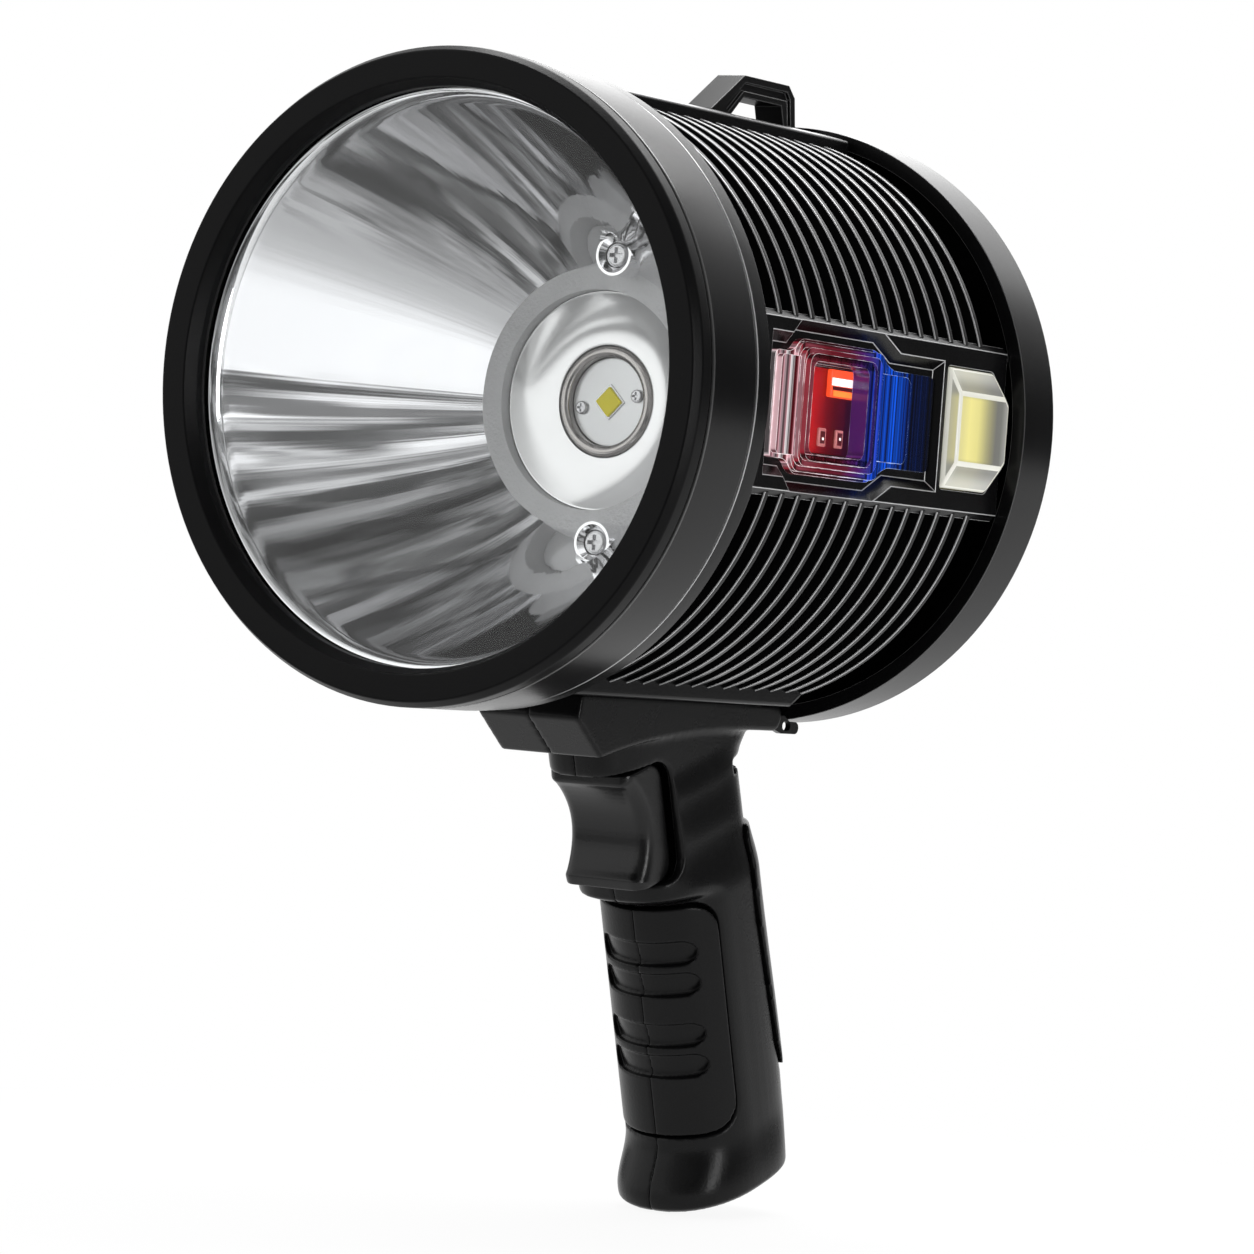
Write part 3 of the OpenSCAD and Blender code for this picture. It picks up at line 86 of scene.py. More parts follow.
def low(node):
    """Lowest corner of a node of the frame."""
    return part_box(node)[0]


def high(node):
    """Highest corner of a node of the frame."""
    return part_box(node)[1]


def depth_of(node):
    """First and last depth of a node behind the face of the bezel."""
    return low(node).y - HEAD_FRONT, high(node).y - HEAD_FRONT


def spot_round_axis(turn, reach):
    """A spot at an angle round the head's axis and at a distance from it."""
    return Vector((math.cos(turn), 0, math.sin(turn))) * reach


def beside_axis(spot, along):
    """A spot beside the head's axis, moved to a place along it."""
    return Vector((spot.x, along, spot.z))


def length(label, words, size, unit=MM):
    """A length that a user may change, in mm unless another unit is given."""
    return bpy.props.FloatProperty(
        name=label, description=words, default=size * unit, unit="LENGTH", precision=5
    )


def rotation(label, words, degrees):
    """An angle that a user may change."""
    return bpy.props.FloatProperty(
        name=label, description=words, default=math.radians(degrees), subtype="ANGLE", unit="ROTATION"
    )


def colour(label, words, red, green, blue):
    """A colour that a user may change."""
    return bpy.props.FloatVectorProperty(
        name=label, description=words, default=(red, green, blue), subtype="COLOR", min=0.0, max=1.0
    )


class HeadSizes(bpy.types.PropertyGroup):
    """Sizes of the round head, measured from its axis and from the face of the bezel."""

    radius: length("Head radius", "Outer radius of the bezel and the collar", high("bezel_ring").x, 1)
    opening: length("Opening radius", "Radius of the clear opening in the bezel", 61.6)
    opening_bevel: length("Opening bevel", "Width of the bevel that leads into the opening", 1.4)
    opening_depth: length("Opening bevel depth", "Depth of the bevel that leads into the opening", 3)
    face_bevel: length("Face bevel", "Width of the bevel round the bezel's face", 1.2)
    side_bevel: length("Side bevel", "Length of the bevel round the bezel's face", 2.1)
    bezel_length: length("Bezel length", "Length of the bezel that shows from the side", 5.5)
    skirt: length("Skirt radius", "Radius of the skirt behind the bezel", 66.1)
    groove: length("Groove", "Width of the grooves between the rings", 0.75)
    collar_length: length("Collar length", "Length of the front collar", 16.5)
    flange_length: length("Flange length", "Length of the barrel's front flange", 5)
    flange: length("Flange radius", "Radius of the barrel's front flange", 69.7)
    fin_tip: length("Fin radius", "Radius of the fin tips", 65.8)
    fin_depth: length("Fin depth", "Height of the fins above the barrel's core", 9.8)
    fin_thickness: length("Fin thickness", "Thickness of one fin", 1.7)
    fin_pitch: length("Fin pitch", "Distance from fin to fin", 6.5)
    fin_lead: length("First fin", "Distance from the flange to the middle of the first fin", 5.8)
    fin_count: bpy.props.IntProperty(name="Fins", description="Number of fins", default=15, min=1)
    core_wall: length("Core wall", "Wall of the barrel's core", 3)
    barrel_end: length("Barrel end", "Depth of the barrel's rear end", 139)
    rear_radius: length("Rear radius", "Outer radius of the rear cover", high("rear_cover").x, 1)
    rear_wall: length("Shroud wall", "Wall of the rear cover's shroud", 3.4)
    rear_back: length("Rear thickness", "Thickness of the rear cover's back", 4)
    rear_bevel: length("Rear bevel", "Bevel round the rear cover's back", 2)
    rail_radius: length("Top rail radius", "Radius of the top rail's crown", 68)
    rail_half: length("Top rail half width", "Half the width of the top rail", 18)
    rail_end: length("Top rail end", "Depth of the top rail's rear end", 135.5)
    keel_half: length("Keel half width", "Half the width of the keel", 23)
    keel_drop: length("Keel drop", "Distance of the keel's flat from the axis", 64.7)
    keel_end: length("Keel end", "Depth of the keel's rear end", 126)
    keel_slope: length("Keel slope", "Length of the slope at the keel's rear end", 5)
    keel_rise: length("Keel rise", "Height of the slope at the keel's rear end", 2.8)


class MirrorSizes(bpy.types.PropertyGroup):
    """Sizes of the mirror and of the emitter in its focus."""

    mouth: length("Mouth radius", "Radius of the mirror's mouth", 59.3)
    mouth_depth: length("Mouth depth", "Depth of the mirror's mouth", 10.3)
    focus_depth: length("Focus depth", "Depth of the mirror's focus, where the emitter sits", 72)
    neck: length("Neck radius", "Radius of the mirror's rear opening", 29.5)
    wall: length("Mirror wall", "Wall of the mirror", 1.3)
    boss: length("Boss radius", "Radius of the screw bosses in the mirror", 4.6)
    boss_place: length("Boss distance", "Distance of the screw bosses from the axis", 32.4)
    boss_angle: rotation("Boss angle", "Angle of the bosses above and below the side", 77)
    boss_depth: length("Boss depth", "Depth of the bosses' faces", 59)
    dish_hollow: length("Dish hollow", "Hollow of the polished dish", 2.5)
    chip: length("Emitter side", "Side of the square emitter", 4.8)
    screw_place: length("Board screw distance", "Distance of the board screws from the axis", 7.4)
    screw_tilt: rotation("Board screw tilt", "Turn of the board screws round the axis", 12)


class PanelSizes(bpy.types.PropertyGroup):
    """Sizes of the side panel with its beacon and its lamp."""

    face: length("Panel distance", "Distance of the panel's face from the axis", 63.5)
    half: length("Panel half height", "Half the height of the panel", 19.6)
    bevel: length("Panel bevel", "Bevel along the panel", 1.4)
    end: length("Panel end", "Depth of the panel's rear end", 136.4)
    recess_start: length("Recess start", "Depth of the beacon's recess", 37.7)
    recess_length: length("Recess length", "Length of the beacon's recess", 71.4)
    recess_depth: length("Recess depth", "Depth of the recess under the panel's face", 2.4)
    front_half: length("Front half height", "Half the height of the recess at its front", 14.2)
    middle_half: length("Middle half height", "Half the height of the recess at its middle", 17.2)
    rear_half: length("Rear half height", "Half the height of the recess at its rear", 13.4)
    widen: length("Widening", "Where the recess starts to widen", 8.6)
    narrow: length("Narrowing", "Where the recess starts to narrow", 44.5)
    front_slope: length("Front slope", "Length of the recess's front slope", 3)
    rear_slope: length("Rear slope", "Length of the recess's rear slope", 7.5)
    recess_slope: length("Recess slope", "Width of the slope round the beacon's recess", 2.2)
    margin: length("Lens margin", "Margin between the recess and the lens", 2.8)
    well_half: length("Well half height", "Half the height of the light well", 9.6)
    well_depth: length("Well depth", "Depth of the light well under the recess", 3)
    dome_rise: length("Dome rise", "Height of the lens dome above the recess", 5)
    lamp_start: length("Lamp start", "Depth of the side lamp", 111)
    lamp_length: length("Lamp length", "Length of the side lamp", 24.6)
    lamp_half: length("Lamp half height", "Half the height of the side lamp", 13.4)
    lamp_rise: length("Lamp rise", "How far the side lamp stands out of the panel", 2.8)
    lamp_slope: length("Lamp slope", "Height of the slopes at the lamp's top and bottom", 5.6)
    lamp_corner: length("Lamp corner", "Corner cut off the rear of the lamp", 5.5)


class GripSizes(bpy.types.PropertyGroup):
    """Sizes of the grip in its own raked frame."""

    rake: rotation("Rake", "Rake of the grip", 18.3)
    neck_depth: length("Neck depth", "Depth of the grip's neck behind the bezel's face", 100)
    neck_drop: length("Neck drop", "Distance of the grip's neck below the head's axis", 79)
    half: length("Grip half width", "Half the width of the grip", 16)
    axis: length("Round centre", "Where the round front of the grip has its centre", 2.3)
    long: length("Grip length", "Length of the grip below its neck", 102.6)
    foot: length("Foot length", "Length of the flared foot", 15)
    flare: length("Foot flare", "How far the foot flares forward", 5.8)
    visor: length("Visor", "Front of the visor over the trigger", 30)
    lip: length("Lip", "Front of the lip under the trigger", 20)
    lip_height: length("Lip height", "Height of the lip under the trigger", 5.2)
    pocket: length("Pocket", "Front face of the frame round the trigger", 11)
    pocket_top: length("Pocket top", "Upper end of the trigger's pocket", 5.2)
    pocket_low: length("Pocket bottom", "Lower end of the trigger's pocket", 23.1)
    pocket_round: length("Pocket rounding", "Corner radius of the trigger's pocket", 5.5)
    saddle_half: length("Saddle half width", "Half the width of the saddle", 13.5)
    saddle_start: length("Saddle start", "Depth of the saddle's front edge", 50.5)
    saddle_end: length("Saddle end", "Depth of the saddle's rear edge", 132.5)
    saddle_nose: length("Saddle nose", "Height of the saddle's front edge", 5.6)
    saddle_slant: length("Saddle slant", "Length of the saddle's slanting front", 10.3)
    saddle_deep: length("Saddle depth", "Height of the saddle behind its slanting front", 13.9)
    saddle_rear: length("Saddle rear", "Height of the saddle at its rear", 6)
    saddle_round: length("Saddle rounding", "Radius of the saddle's lower rear corner", 3)
    eye_inset: length("Strap eye inset", "Distance of the strap eye from the saddle's side", 0.3)
    eye_thickness: length("Strap eye thickness", "Thickness of the strap eye", 1.4)
    eye_hole: length("Strap hole", "Radius of the strap eye's hole", 1.05)
    pad_proud: length("Pad stand", "How far the front pad stands out of the grip", 0.35)
    pad_gap: length("Pad gap", "Visible gap round the rubber pads", 0.75)
    pad_thickness: length("Pad thickness", "Thickness of the rear pad", 2)
    front_pad: length("Front pad thickness", "Thickness of the front pad", 3.2)
    groove_top: length("Groove top", "Depth of the finger grooves at their upper edge", 0.7)
    groove_low: length("Groove bottom", "Depth of the finger grooves at their lower edge", 1.6)
    voxel: length("Mould detail", "Grid on which the moulded shells are rounded", 0.45)


class TriggerSizes(bpy.types.PropertyGroup):
    """Sizes of the trigger in the grip's raked frame."""

    half: length("Trigger half width", "Half the width of the trigger", 10.9)
    front: length("Trigger front", "Front of the trigger's upper lip", 26)
    rear: length("Trigger rear", "Rear edge of the trigger", 12.3)
    top: length("Trigger top", "Upper end of the trigger", 4.7)
    bottom: length("Trigger bottom", "Lower end of the trigger", 22.6)
    lip: length("Trigger lip", "Height of the trigger's upper and lower lip", 2.4)
    hollow: length("Finger hollow", "Depth of the finger hollow", 5.2)
    round: length("Front rounding", "Rounding of the trigger's front edges", 3)
    corner: length("Rear corner", "Corner radius of the trigger's rear edge", 4.5)
    travel: length("Travel", "Travel of the trigger", frame["joints"][0]["range_m"][1], 1)


class Finishes(bpy.types.PropertyGroup):
    """Colours of the finishes."""

    shell: colour("Shell black", "Satin black of the head", 0.004, 0.004, 0.0043)
    # Painted highlight: the edge colour below paints the light caught by the bevelled edges of the barrel, its
    # side panels, the collar, the rear cover and the carry loop.
    edge: colour("Bright edge", "Edges of the fins and the panels, where the black is thin", 0.48, 0.48, 0.485)
    grip: colour("Grip black", "Satin black of the grip", 0.004, 0.004, 0.0042)
    rubber: colour("Rubber black", "Soft black of the pads", 0.004, 0.004, 0.0042)
    mirror: colour("Mirror", "Vacuum-coated mirror", 0.9, 0.9, 0.91)
    dish: colour("Dish", "Bright polished dish round the emitter", 0.96, 0.96, 0.96)
    cast: colour("Blasted metal", "Sand-blasted face of the heat sink", 0.7, 0.7, 0.705)
    ring: colour("Dark chrome", "Retaining ring", 0.42, 0.4, 0.385)
    steel: colour("Screw steel", "Plated screws", 0.62, 0.62, 0.63)
    board: colour("Emitter board", "Pale face of the emitter board", 0.86, 0.87, 0.87)
    phosphor: colour("Phosphor", "Yellow of the emitter", 0.88, 0.76, 0.015)
    frosted: colour("Frosted lens", "Body of the side lamp", 0.72, 0.72, 0.66)
    glow: colour("Lamp glow", "Glow of the side lamp", 1.0, 0.88, 0.16)
    # Beacon red and blue tint the glow of the lights that is painted on the beacon's board.
    red: colour("Beacon red", "Red end of the beacon", 0.6, 0.005, 0.008)
    blue: colour("Beacon blue", "Blue end of the beacon", 0.005, 0.07, 0.85)


SIZE_GROUPS = {
    "searchlight_head": HeadSizes,
    "searchlight_mirror": MirrorSizes,
    "searchlight_panel": PanelSizes,
    "searchlight_grip": GripSizes,
    "searchlight_trigger": TriggerSizes,
    "searchlight_finish": Finishes,
}


# Modelling steps that several pieces share

def clear_selection():
    """Leaves edit mode and deselects everything."""
    if bpy.context.object and bpy.context.object.mode != "OBJECT":
        bpy.ops.object.mode_set(mode="OBJECT")
    bpy.ops.object.select_all(action="DESELECT")


def make_active(piece):
    """Selects one piece only."""
    clear_selection()
    piece.select_set(True)
    bpy.context.view_layer.objects.active = piece


def adopt(name):
    """Names the object that was just made."""
    piece = bpy.context.object
    piece.name = name
    piece.data.name = name
    return piece


def apply_modifier(piece, modifier):
    """Applies one modifier of a piece."""
    make_active(piece)
    bpy.ops.object.modifier_apply(modifier=modifier.name)


def soften(piece, width, segments=2, slot=-1, angle=30):
    """Bevels the sharp edges of a piece."""
    bevel = piece.modifiers.new("Soft edges", "BEVEL")
    bevel.width = width
    bevel.segments = segments
    bevel.limit_method = "ANGLE"
    bevel.angle_limit = math.radians(angle)
    bevel.material = slot
    apply_modifier(piece, bevel)


def combine(piece, tool, operation):
    """Joins a tool shape to a piece, cuts it out or keeps what both share, and removes the tool."""
    boolean = piece.modifiers.new("Shape", "BOOLEAN")
    boolean.operation = operation
    boolean.solver = "EXACT"
    boolean.object = tool
    apply_modifier(piece, boolean)
    bpy.data.objects.remove(tool)


def carve(piece, *tools):
    """Cuts tool shapes out of a piece."""
    for tool in tools:
        combine(piece, tool, "DIFFERENCE")


def unite(piece, *tools):
    """Joins tool shapes to a piece."""
    for tool in tools:
        combine(piece, tool, "UNION")


def moulded(piece, voxel, rounds):
    """Rounds every edge of a piece, as moulding does."""
    grid = piece.modifiers.new("Mould grid", "REMESH")
    grid.mode = "VOXEL"
    grid.voxel_size = voxel
    grid.use_smooth_shade = True
    apply_modifier(piece, grid)
    ease = piece.modifiers.new("Mould rounding", "SMOOTH")
    ease.factor = 0.5
    ease.iterations = rounds
    apply_modifier(piece, ease)


def tidy_mesh(piece):
    """Welds a piece and turns its faces outwards."""
    make_active(piece)
    bpy.ops.object.mode_set(mode="EDIT")
    bpy.ops.mesh.select_all(action="SELECT")
    bpy.ops.mesh.remove_doubles(threshold=WELD)
    bpy.ops.mesh.normals_make_consistent(inside=False)
    bpy.ops.object.mode_set(mode="OBJECT")


def smooth_faces(piece):
    """Shades a piece smooth, with its corners kept sharp."""
    make_active(piece)
    bpy.ops.object.shade_smooth_by_angle(angle=SMOOTH_ANGLE)
    even = piece.modifiers.new("Even faces", "WEIGHTED_NORMAL")
    even.keep_sharp = True
    apply_modifier(piece, even)


def draw_outline(points):
    """Starts a mesh as one corner and extrudes it along the points."""
    clear_selection()
    bpy.ops.mesh.primitive_plane_add(size=MM)
    bpy.ops.object.mode_set(mode="EDIT")
    bpy.ops.mesh.select_mode(type="VERT")
    bpy.ops.mesh.merge(type="CENTER")
    bpy.ops.transform.translate(value=points[0])
    for here, there in zip(points, points[1:]):
        bpy.ops.mesh.extrude_region_move(TRANSFORM_OT_translate={"value": there - here})


def turned(name, profile, steps=RING_STEPS, closed=True):
    """A ring of revolution round the head's axis, from points of radius and depth."""
    points = [Vector((radius, HEAD_FRONT + depth, 0)) for radius, depth in profile]
    draw_outline(points + points[:1] if closed else points)
    bpy.ops.mesh.select_all(action="SELECT")
    bpy.ops.mesh.spin(steps=steps, angle=WHOLE_TURN, center=(0, 0, 0), axis=(0, 1, 0))
    piece = adopt(name)
    tidy_mesh(piece)
    return piece


def prism(name, points, reach, corner=0.0):
    """A flat outline with rounded corners, extruded by a reach."""
    draw_outline(points + points[:1])
    bpy.ops.mesh.select_all(action="SELECT")
    bpy.ops.mesh.remove_doubles(threshold=WELD)
    bpy.ops.mesh.select_all(action="SELECT")
    bpy.ops.mesh.edge_face_add()
    if corner:
        bpy.ops.mesh.bevel(offset=corner, segments=4, affect="VERTICES", clamp_overlap=True)
        bpy.ops.mesh.select_all(action="SELECT")
    bpy.ops.mesh.extrude_region_move(TRANSFORM_OT_translate={"value": reach})
    piece = adopt(name)
    tidy_mesh(piece)
    return piece


def cross_prism(name, outline, half):
    """An outline along the object and up, extruded from one side to the other."""
    points = [Vector((-half, along, height)) for along, height in outline]
    return prism(name, points, Vector((2 * half, 0, 0)))


def side_prism(name, outline, half):
    """An outline of depth and height, extruded across the head from one side to the other."""
    return cross_prism(name, [(HEAD_FRONT + depth, height) for depth, height in outline], half)


def long_prism(name, outline, start, end):
    """An outline across the head and up, extruded from one depth to another."""
    points = [Vector((across, HEAD_FRONT + start, height)) for across, height in outline]
    return prism(name, points, Vector((0, end - start, 0)))


def panel_prism(name, outline, inner, outer, corner=0.0):
    """An outline of depth and height on the side panel, extruded outwards."""
    points = [Vector((inner, HEAD_FRONT + depth, height)) for depth, height in outline]
    return prism(name, points, Vector((outer - inner, 0, 0)), corner)


def rounded_corner(centre, radius, first, last, steps=8):
    """Points on an arc from one angle to another, in degrees."""
    points = []
    for i in range(steps + 1):
        turn = math.radians(first + (last - first) * i / steps)
        points.append((centre[0] + radius * math.cos(turn), centre[1] + radius * math.sin(turn)))
    return points


def rounded_rear(rear, top, bottom, corner):
    """Points down the rear of an outline with round corners."""
    upper = rounded_corner((rear - corner, top - corner), corner, 90, 0)
    return upper + rounded_corner((rear - corner, bottom + corner), corner, 0, -90)


def rounded_slot(first, last, level, radius, steps=8):
    """Outline of a slot with round ends between two places at one level."""
    ends = rounded_corner((last, level), radius, -90, 90, steps)
    return ends + rounded_corner((first, level), radius, 90, 270, steps)


def block(name, lowest, highest):
    """A box between two corners, as a cutting tool or a start."""
    clear_selection()
    middle = (Vector(lowest) + Vector(highest)) / 2
    size = Vector(highest) - Vector(lowest)
    bpy.ops.mesh.primitive_cube_add(size=1, location=middle, scale=size)
    bpy.ops.object.transform_apply(location=True, rotation=True, scale=True)
    return adopt(name)


def rod(name, radius, start, end, vertices=48, tip=None):
    """A round rod or cone between two points, as a cutting tool or a start."""
    clear_selection()
    start, end = Vector(start), Vector(end)
    along = end - start
    turn = along.to_track_quat("Z", "Y").to_euler()
    bpy.ops.mesh.primitive_cone_add(
        vertices=vertices, radius1=radius, radius2=radius if tip is None else tip, depth=along.length,
        location=(start + end) / 2, rotation=turn
    )
    bpy.ops.object.transform_apply(location=True, rotation=True, scale=True)
    return adopt(name)


def axis_rod(name, radius, spot, start, end, vertices=48, tip=None):
    """A rod beside the head's axis, from one place along it to another."""
    return rod(name, radius, beside_axis(spot, start), beside_axis(spot, end), vertices, tip)


def loft(name, rings):
    """A closed skin through rings of points, from the first ring to the last."""
    count = len(rings[0])
    clear_selection()
    bpy.ops.mesh.primitive_grid_add(x_subdivisions=count, y_subdivisions=len(rings) - 1)
    piece = adopt(name)
    flat = [value for ring in rings for point in ring + ring[:1] for value in point]
    piece.data.vertices.foreach_set("co", flat)
    piece.data.update()
    bpy.ops.object.mode_set(mode="EDIT")
    bpy.ops.mesh.select_all(action="SELECT")
    bpy.ops.mesh.remove_doubles(threshold=WELD)
    bpy.ops.mesh.select_all(action="SELECT")
    bpy.ops.mesh.fill_holes(sides=0)
    bpy.ops.object.mode_set(mode="OBJECT")
    tidy_mesh(piece)
    return piece


def panel_loft(name, outlines):
    """A closed skin through outlines of depth and height on the side panel, each at its distance."""
    return loft(name, [
        [Vector((across, HEAD_FRONT + depth, height)) for depth, height in outline]
        for across, outline in outlines
    ])


def joined(name, pieces):
    """Joins several objects into one piece."""
    make_active(pieces[0])
    for piece in pieces[1:]:
        piece.select_set(True)
    if len(pieces) > 1:
        bpy.ops.object.join()
    return adopt(name)


def copy_of(piece):
    """A copy of a piece with its own mesh."""
    make_active(piece)
    bpy.ops.object.duplicate(linked=False)
    return bpy.context.object


def settle(piece, matrix):
    """Moves a piece to its place and puts the place into its mesh."""
    make_active(piece)
    piece.matrix_world = matrix
    bpy.ops.object.transform_apply(location=True, rotation=True, scale=True)
    return piece


def half_of(piece, name, side):
    """One half of a piece, cut along the middle plane and closed there."""
    part = copy_of(piece)
    bpy.ops.object.mode_set(mode="EDIT")
    bpy.ops.mesh.select_all(action="SELECT")
    bpy.ops.mesh.bisect(
        plane_co=(0, 0, 0), plane_no=(1, 0, 0), use_fill=True, clear_inner=side > 0, clear_outer=side < 0
    )
    bpy.ops.object.mode_set(mode="OBJECT")
    part.name = name
    tidy_mesh(part)
    return part


def fit_piece(piece, finish, slot, *nodes, body=HOUSING):
    """Gives a piece its finish if it has none, hides the nodes that it stands for and attaches it to its body;
    the slot is not used.
    """
    if not piece.data.materials:
        piece.data.materials.append(FINISH[finish])
    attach(piece, body)
    if nodes:
        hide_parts(*nodes)


def fit_smooth(piece, finish, slot, *nodes):
    """Shades a piece smooth and fits it."""
    smooth_faces(piece)
    fit_piece(piece, finish, slot, *nodes)


def give_finishes(piece, *finishes):
    """Gives a piece several finishes, such as that of its body and the painted highlight of its edges."""
    piece.data.materials.clear()
    for finish in finishes:
        piece.data.materials.append(FINISH[finish])


def screw_head(name, radius, height):
    """A pan screw head with a cross recess, its top at the origin and facing up."""
    head = rod(name, radius, (0, 0, -height), (0, 0, 0), 40)
    soften(head, radius * 0.3, 3)
    long, wide, deep = radius * 0.62, radius * 0.16, height * 0.6
    for across, along in ((long, wide), (wide, long)):
        carve(head, block("slot_tool", (-across, -along, -deep), (across, along, height)))
    return head


def screw_group(name, node, places, radius=SCREW_RADIUS, height=SCREW_HEIGHT):
    """Copies of one screw head, each placed by a matrix, that stand for a node of screws."""
    master = screw_head(name, radius, height)
    copies = [settle(copy_of(master), place) for place in places]
    bpy.data.objects.remove(master)
    group = joined(name, copies)
    tidy_mesh(group)
    fit_smooth(group, "steel", "screw_steel", node)


# Finishes

def new_material(name):
    """An empty material with its nodes, its links and its shader."""
    material = bpy.data.materials.new(name)
    material.use_nodes = True
    nodes = material.node_tree.nodes
    return material, nodes, material.node_tree.links, nodes["Principled BSDF"]


def fresh(nodes, *kinds):
    """New shader nodes, by the ends of their type names."""
    return [nodes.new("ShaderNode" + kind) for kind in kinds]


def set_inputs(node, values):
    """Sets sockets of a node by their names."""
    for name, value in values.items():
        node.inputs[name].default_value = value


def wire(links, *runs):
    """Links nodes, each run from a node and its output to a node and its input."""
    for source, output, target, entry in runs:
        links.new(source.outputs[output], target.inputs[entry])


def span_of(node, first, last, low_value, high_value):
    """Sets what a range node maps from and to."""
    set_inputs(node, {"From Min": first, "From Max": last, "To Min": low_value, "To Max": high_value})


def colour_mix(nodes, blend="MIX"):
    """A node that mixes two colours."""
    mix = nodes.new("ShaderNodeMix")
    mix.data_type, mix.blend_type = "RGBA", blend
    return mix


def math_node(nodes, links, operation, first, second):
    """A math node between two sockets or values."""
    node = nodes.new("ShaderNodeMath")
    node.operation = operation
    for socket, value in zip(node.inputs, (first, second)):
        if isinstance(value, float):
            socket.default_value = value
        else:
            links.new(value, socket)
    return node.outputs["Value"]


def moulded_grain():
    """A node group with the fine grain of moulded plastic and a broad, faint mottling."""
    name = "Moulded grain"
    if name in bpy.data.node_groups:
        return bpy.data.node_groups[name]
    group = bpy.data.node_groups.new(name, "ShaderNodeTree")
    for socket, way, kind in (
        ("Grain Scale", "INPUT", "Float"), ("Dark", "INPUT", "Color"), ("Light", "INPUT", "Color"),
        ("Smoothest", "INPUT", "Float"), ("Roughest", "INPUT", "Float"), ("Colour", "OUTPUT", "Color"),
        ("Roughness", "OUTPUT", "Float"), ("Height", "OUTPUT", "Float"),
    ):
        group.interface.new_socket(socket, in_out=way, socket_type="NodeSocket" + kind)
    nodes, links = group.nodes, group.links
    entry, leave = nodes.new("NodeGroupInput"), nodes.new("NodeGroupOutput")
    place = nodes.new("ShaderNodeTexCoord")
    grain, mottle = fresh(nodes, "TexNoise", "TexNoise")
    grain.inputs["Detail"].default_value = 3.0
    set_inputs(mottle, {"Scale": 55.0, "Detail": 4.0})
    mix, spread = colour_mix(nodes), nodes.new("ShaderNodeMapRange")
    wire(
        links, (place, "Object", grain, "Vector"), (place, "Object", mottle, "Vector"),
        (entry, "Grain Scale", grain, "Scale"), (mottle, "Fac", mix, "Factor"), (entry, "Dark", mix, "A"),
        (entry, "Light", mix, "B"), (mottle, "Fac", spread, "Value"), (entry, "Smoothest", spread, "To Min"),
        (entry, "Roughest", spread, "To Max"), (mix, "Result", leave, "Colour"),
        (spread, "Result", leave, "Roughness"), (grain, "Fac", leave, "Height")
    )
    return group


def grained(name, base, smoothest, roughest, grain_scale, grain_height, spread=0.25, metallic=0.0, gloss=0.5):
    """A finish with fine grain, faint mottling and uneven gloss."""
    material, nodes, links, shader = new_material(name)
    grain = nodes.new("ShaderNodeGroup")
    grain.node_tree = moulded_grain()
    set_inputs(grain, {
        "Grain Scale": grain_scale, "Dark": (*[value * (1 - spread) for value in base], 1),
        "Light": (*[min(1, value * (1 + spread)) for value in base], 1), "Smoothest": smoothest,
        "Roughest": roughest
    })
    bump = nodes.new("ShaderNodeBump")
    bump.inputs["Distance"].default_value = grain_height
    wire(
        links, (grain, "Colour", shader, "Base Color"), (grain, "Roughness", shader, "Roughness"),
        (grain, "Height", bump, "Height"), (bump, "Normal", shader, "Normal")
    )
    set_inputs(shader, {"Metallic": metallic, "Specular IOR Level": gloss})
    return material


def mirror_finish(name, base, streak_count, streak_height):
    """A bright vacuum-coated mirror with faint streaks that run from its neck to its mouth."""
    material, nodes, links, shader = new_material(name)
    set_inputs(shader, {"Metallic": 1.0, "Base Color": (*base, 1)})
    place, turn = fresh(nodes, "TexCoord", "Mapping")
    turn.inputs["Rotation"].default_value = (math.pi / 2, 0, 0)
    sweep, streaks = fresh(nodes, "TexGradient", "TexNoise")
    sweep.gradient_type = "RADIAL"
    streaks.noise_dimensions = "1D"
    set_inputs(streaks, {"Scale": streak_count, "Detail": 3.0})
    gloss, bump = fresh(nodes, "MapRange", "Bump")
    set_inputs(gloss, {"To Min": 0.015, "To Max": 0.07})
    bump.inputs["Distance"].default_value = streak_height
    wire(
        links, (place, "Object", turn, "Vector"), (turn, "Vector", sweep, "Vector"),
        (sweep, "Fac", streaks, "W"), (streaks, "Fac", gloss, "Value"), (gloss, "Result", shader, "Roughness"),
        (streaks, "Fac", bump, "Height"), (bump, "Normal", shader, "Normal")
    )
    return material


def clear_finish(name, tint, index, roughness):
    """A clear lens that lets the lamps through to what lies behind it."""
    material, nodes, links, shader = new_material(name)
    set_inputs(shader, {"Base Color": (*tint, 1), "Transmission Weight": 1.0, "IOR": index})
    smudge, place = fresh(nodes, "TexNoise", "TexCoord")
    spread = nodes.new("ShaderNodeMapRange")
    smudge.inputs["Scale"].default_value = 40.0
    set_inputs(spread, {"To Min": roughness, "To Max": roughness * 2})
    wire(
        links, (place, "Object", smudge, "Vector"), (smudge, "Fac", spread, "Value"),
        (spread, "Result", shader, "Roughness")
    )
    path, through = fresh(nodes, "LightPath", "BsdfTransparent")
    through.inputs["Color"].default_value = (*tint, 1)
    mix, out = nodes.new("ShaderNodeMixShader"), nodes["Material Output"]
    wire(
        links, (path, "Is Shadow Ray", mix, "Fac"), (shader, "BSDF", mix, 1), (through, "BSDF", mix, 2),
        (mix, "Shader", out, "Surface")
    )
    return material


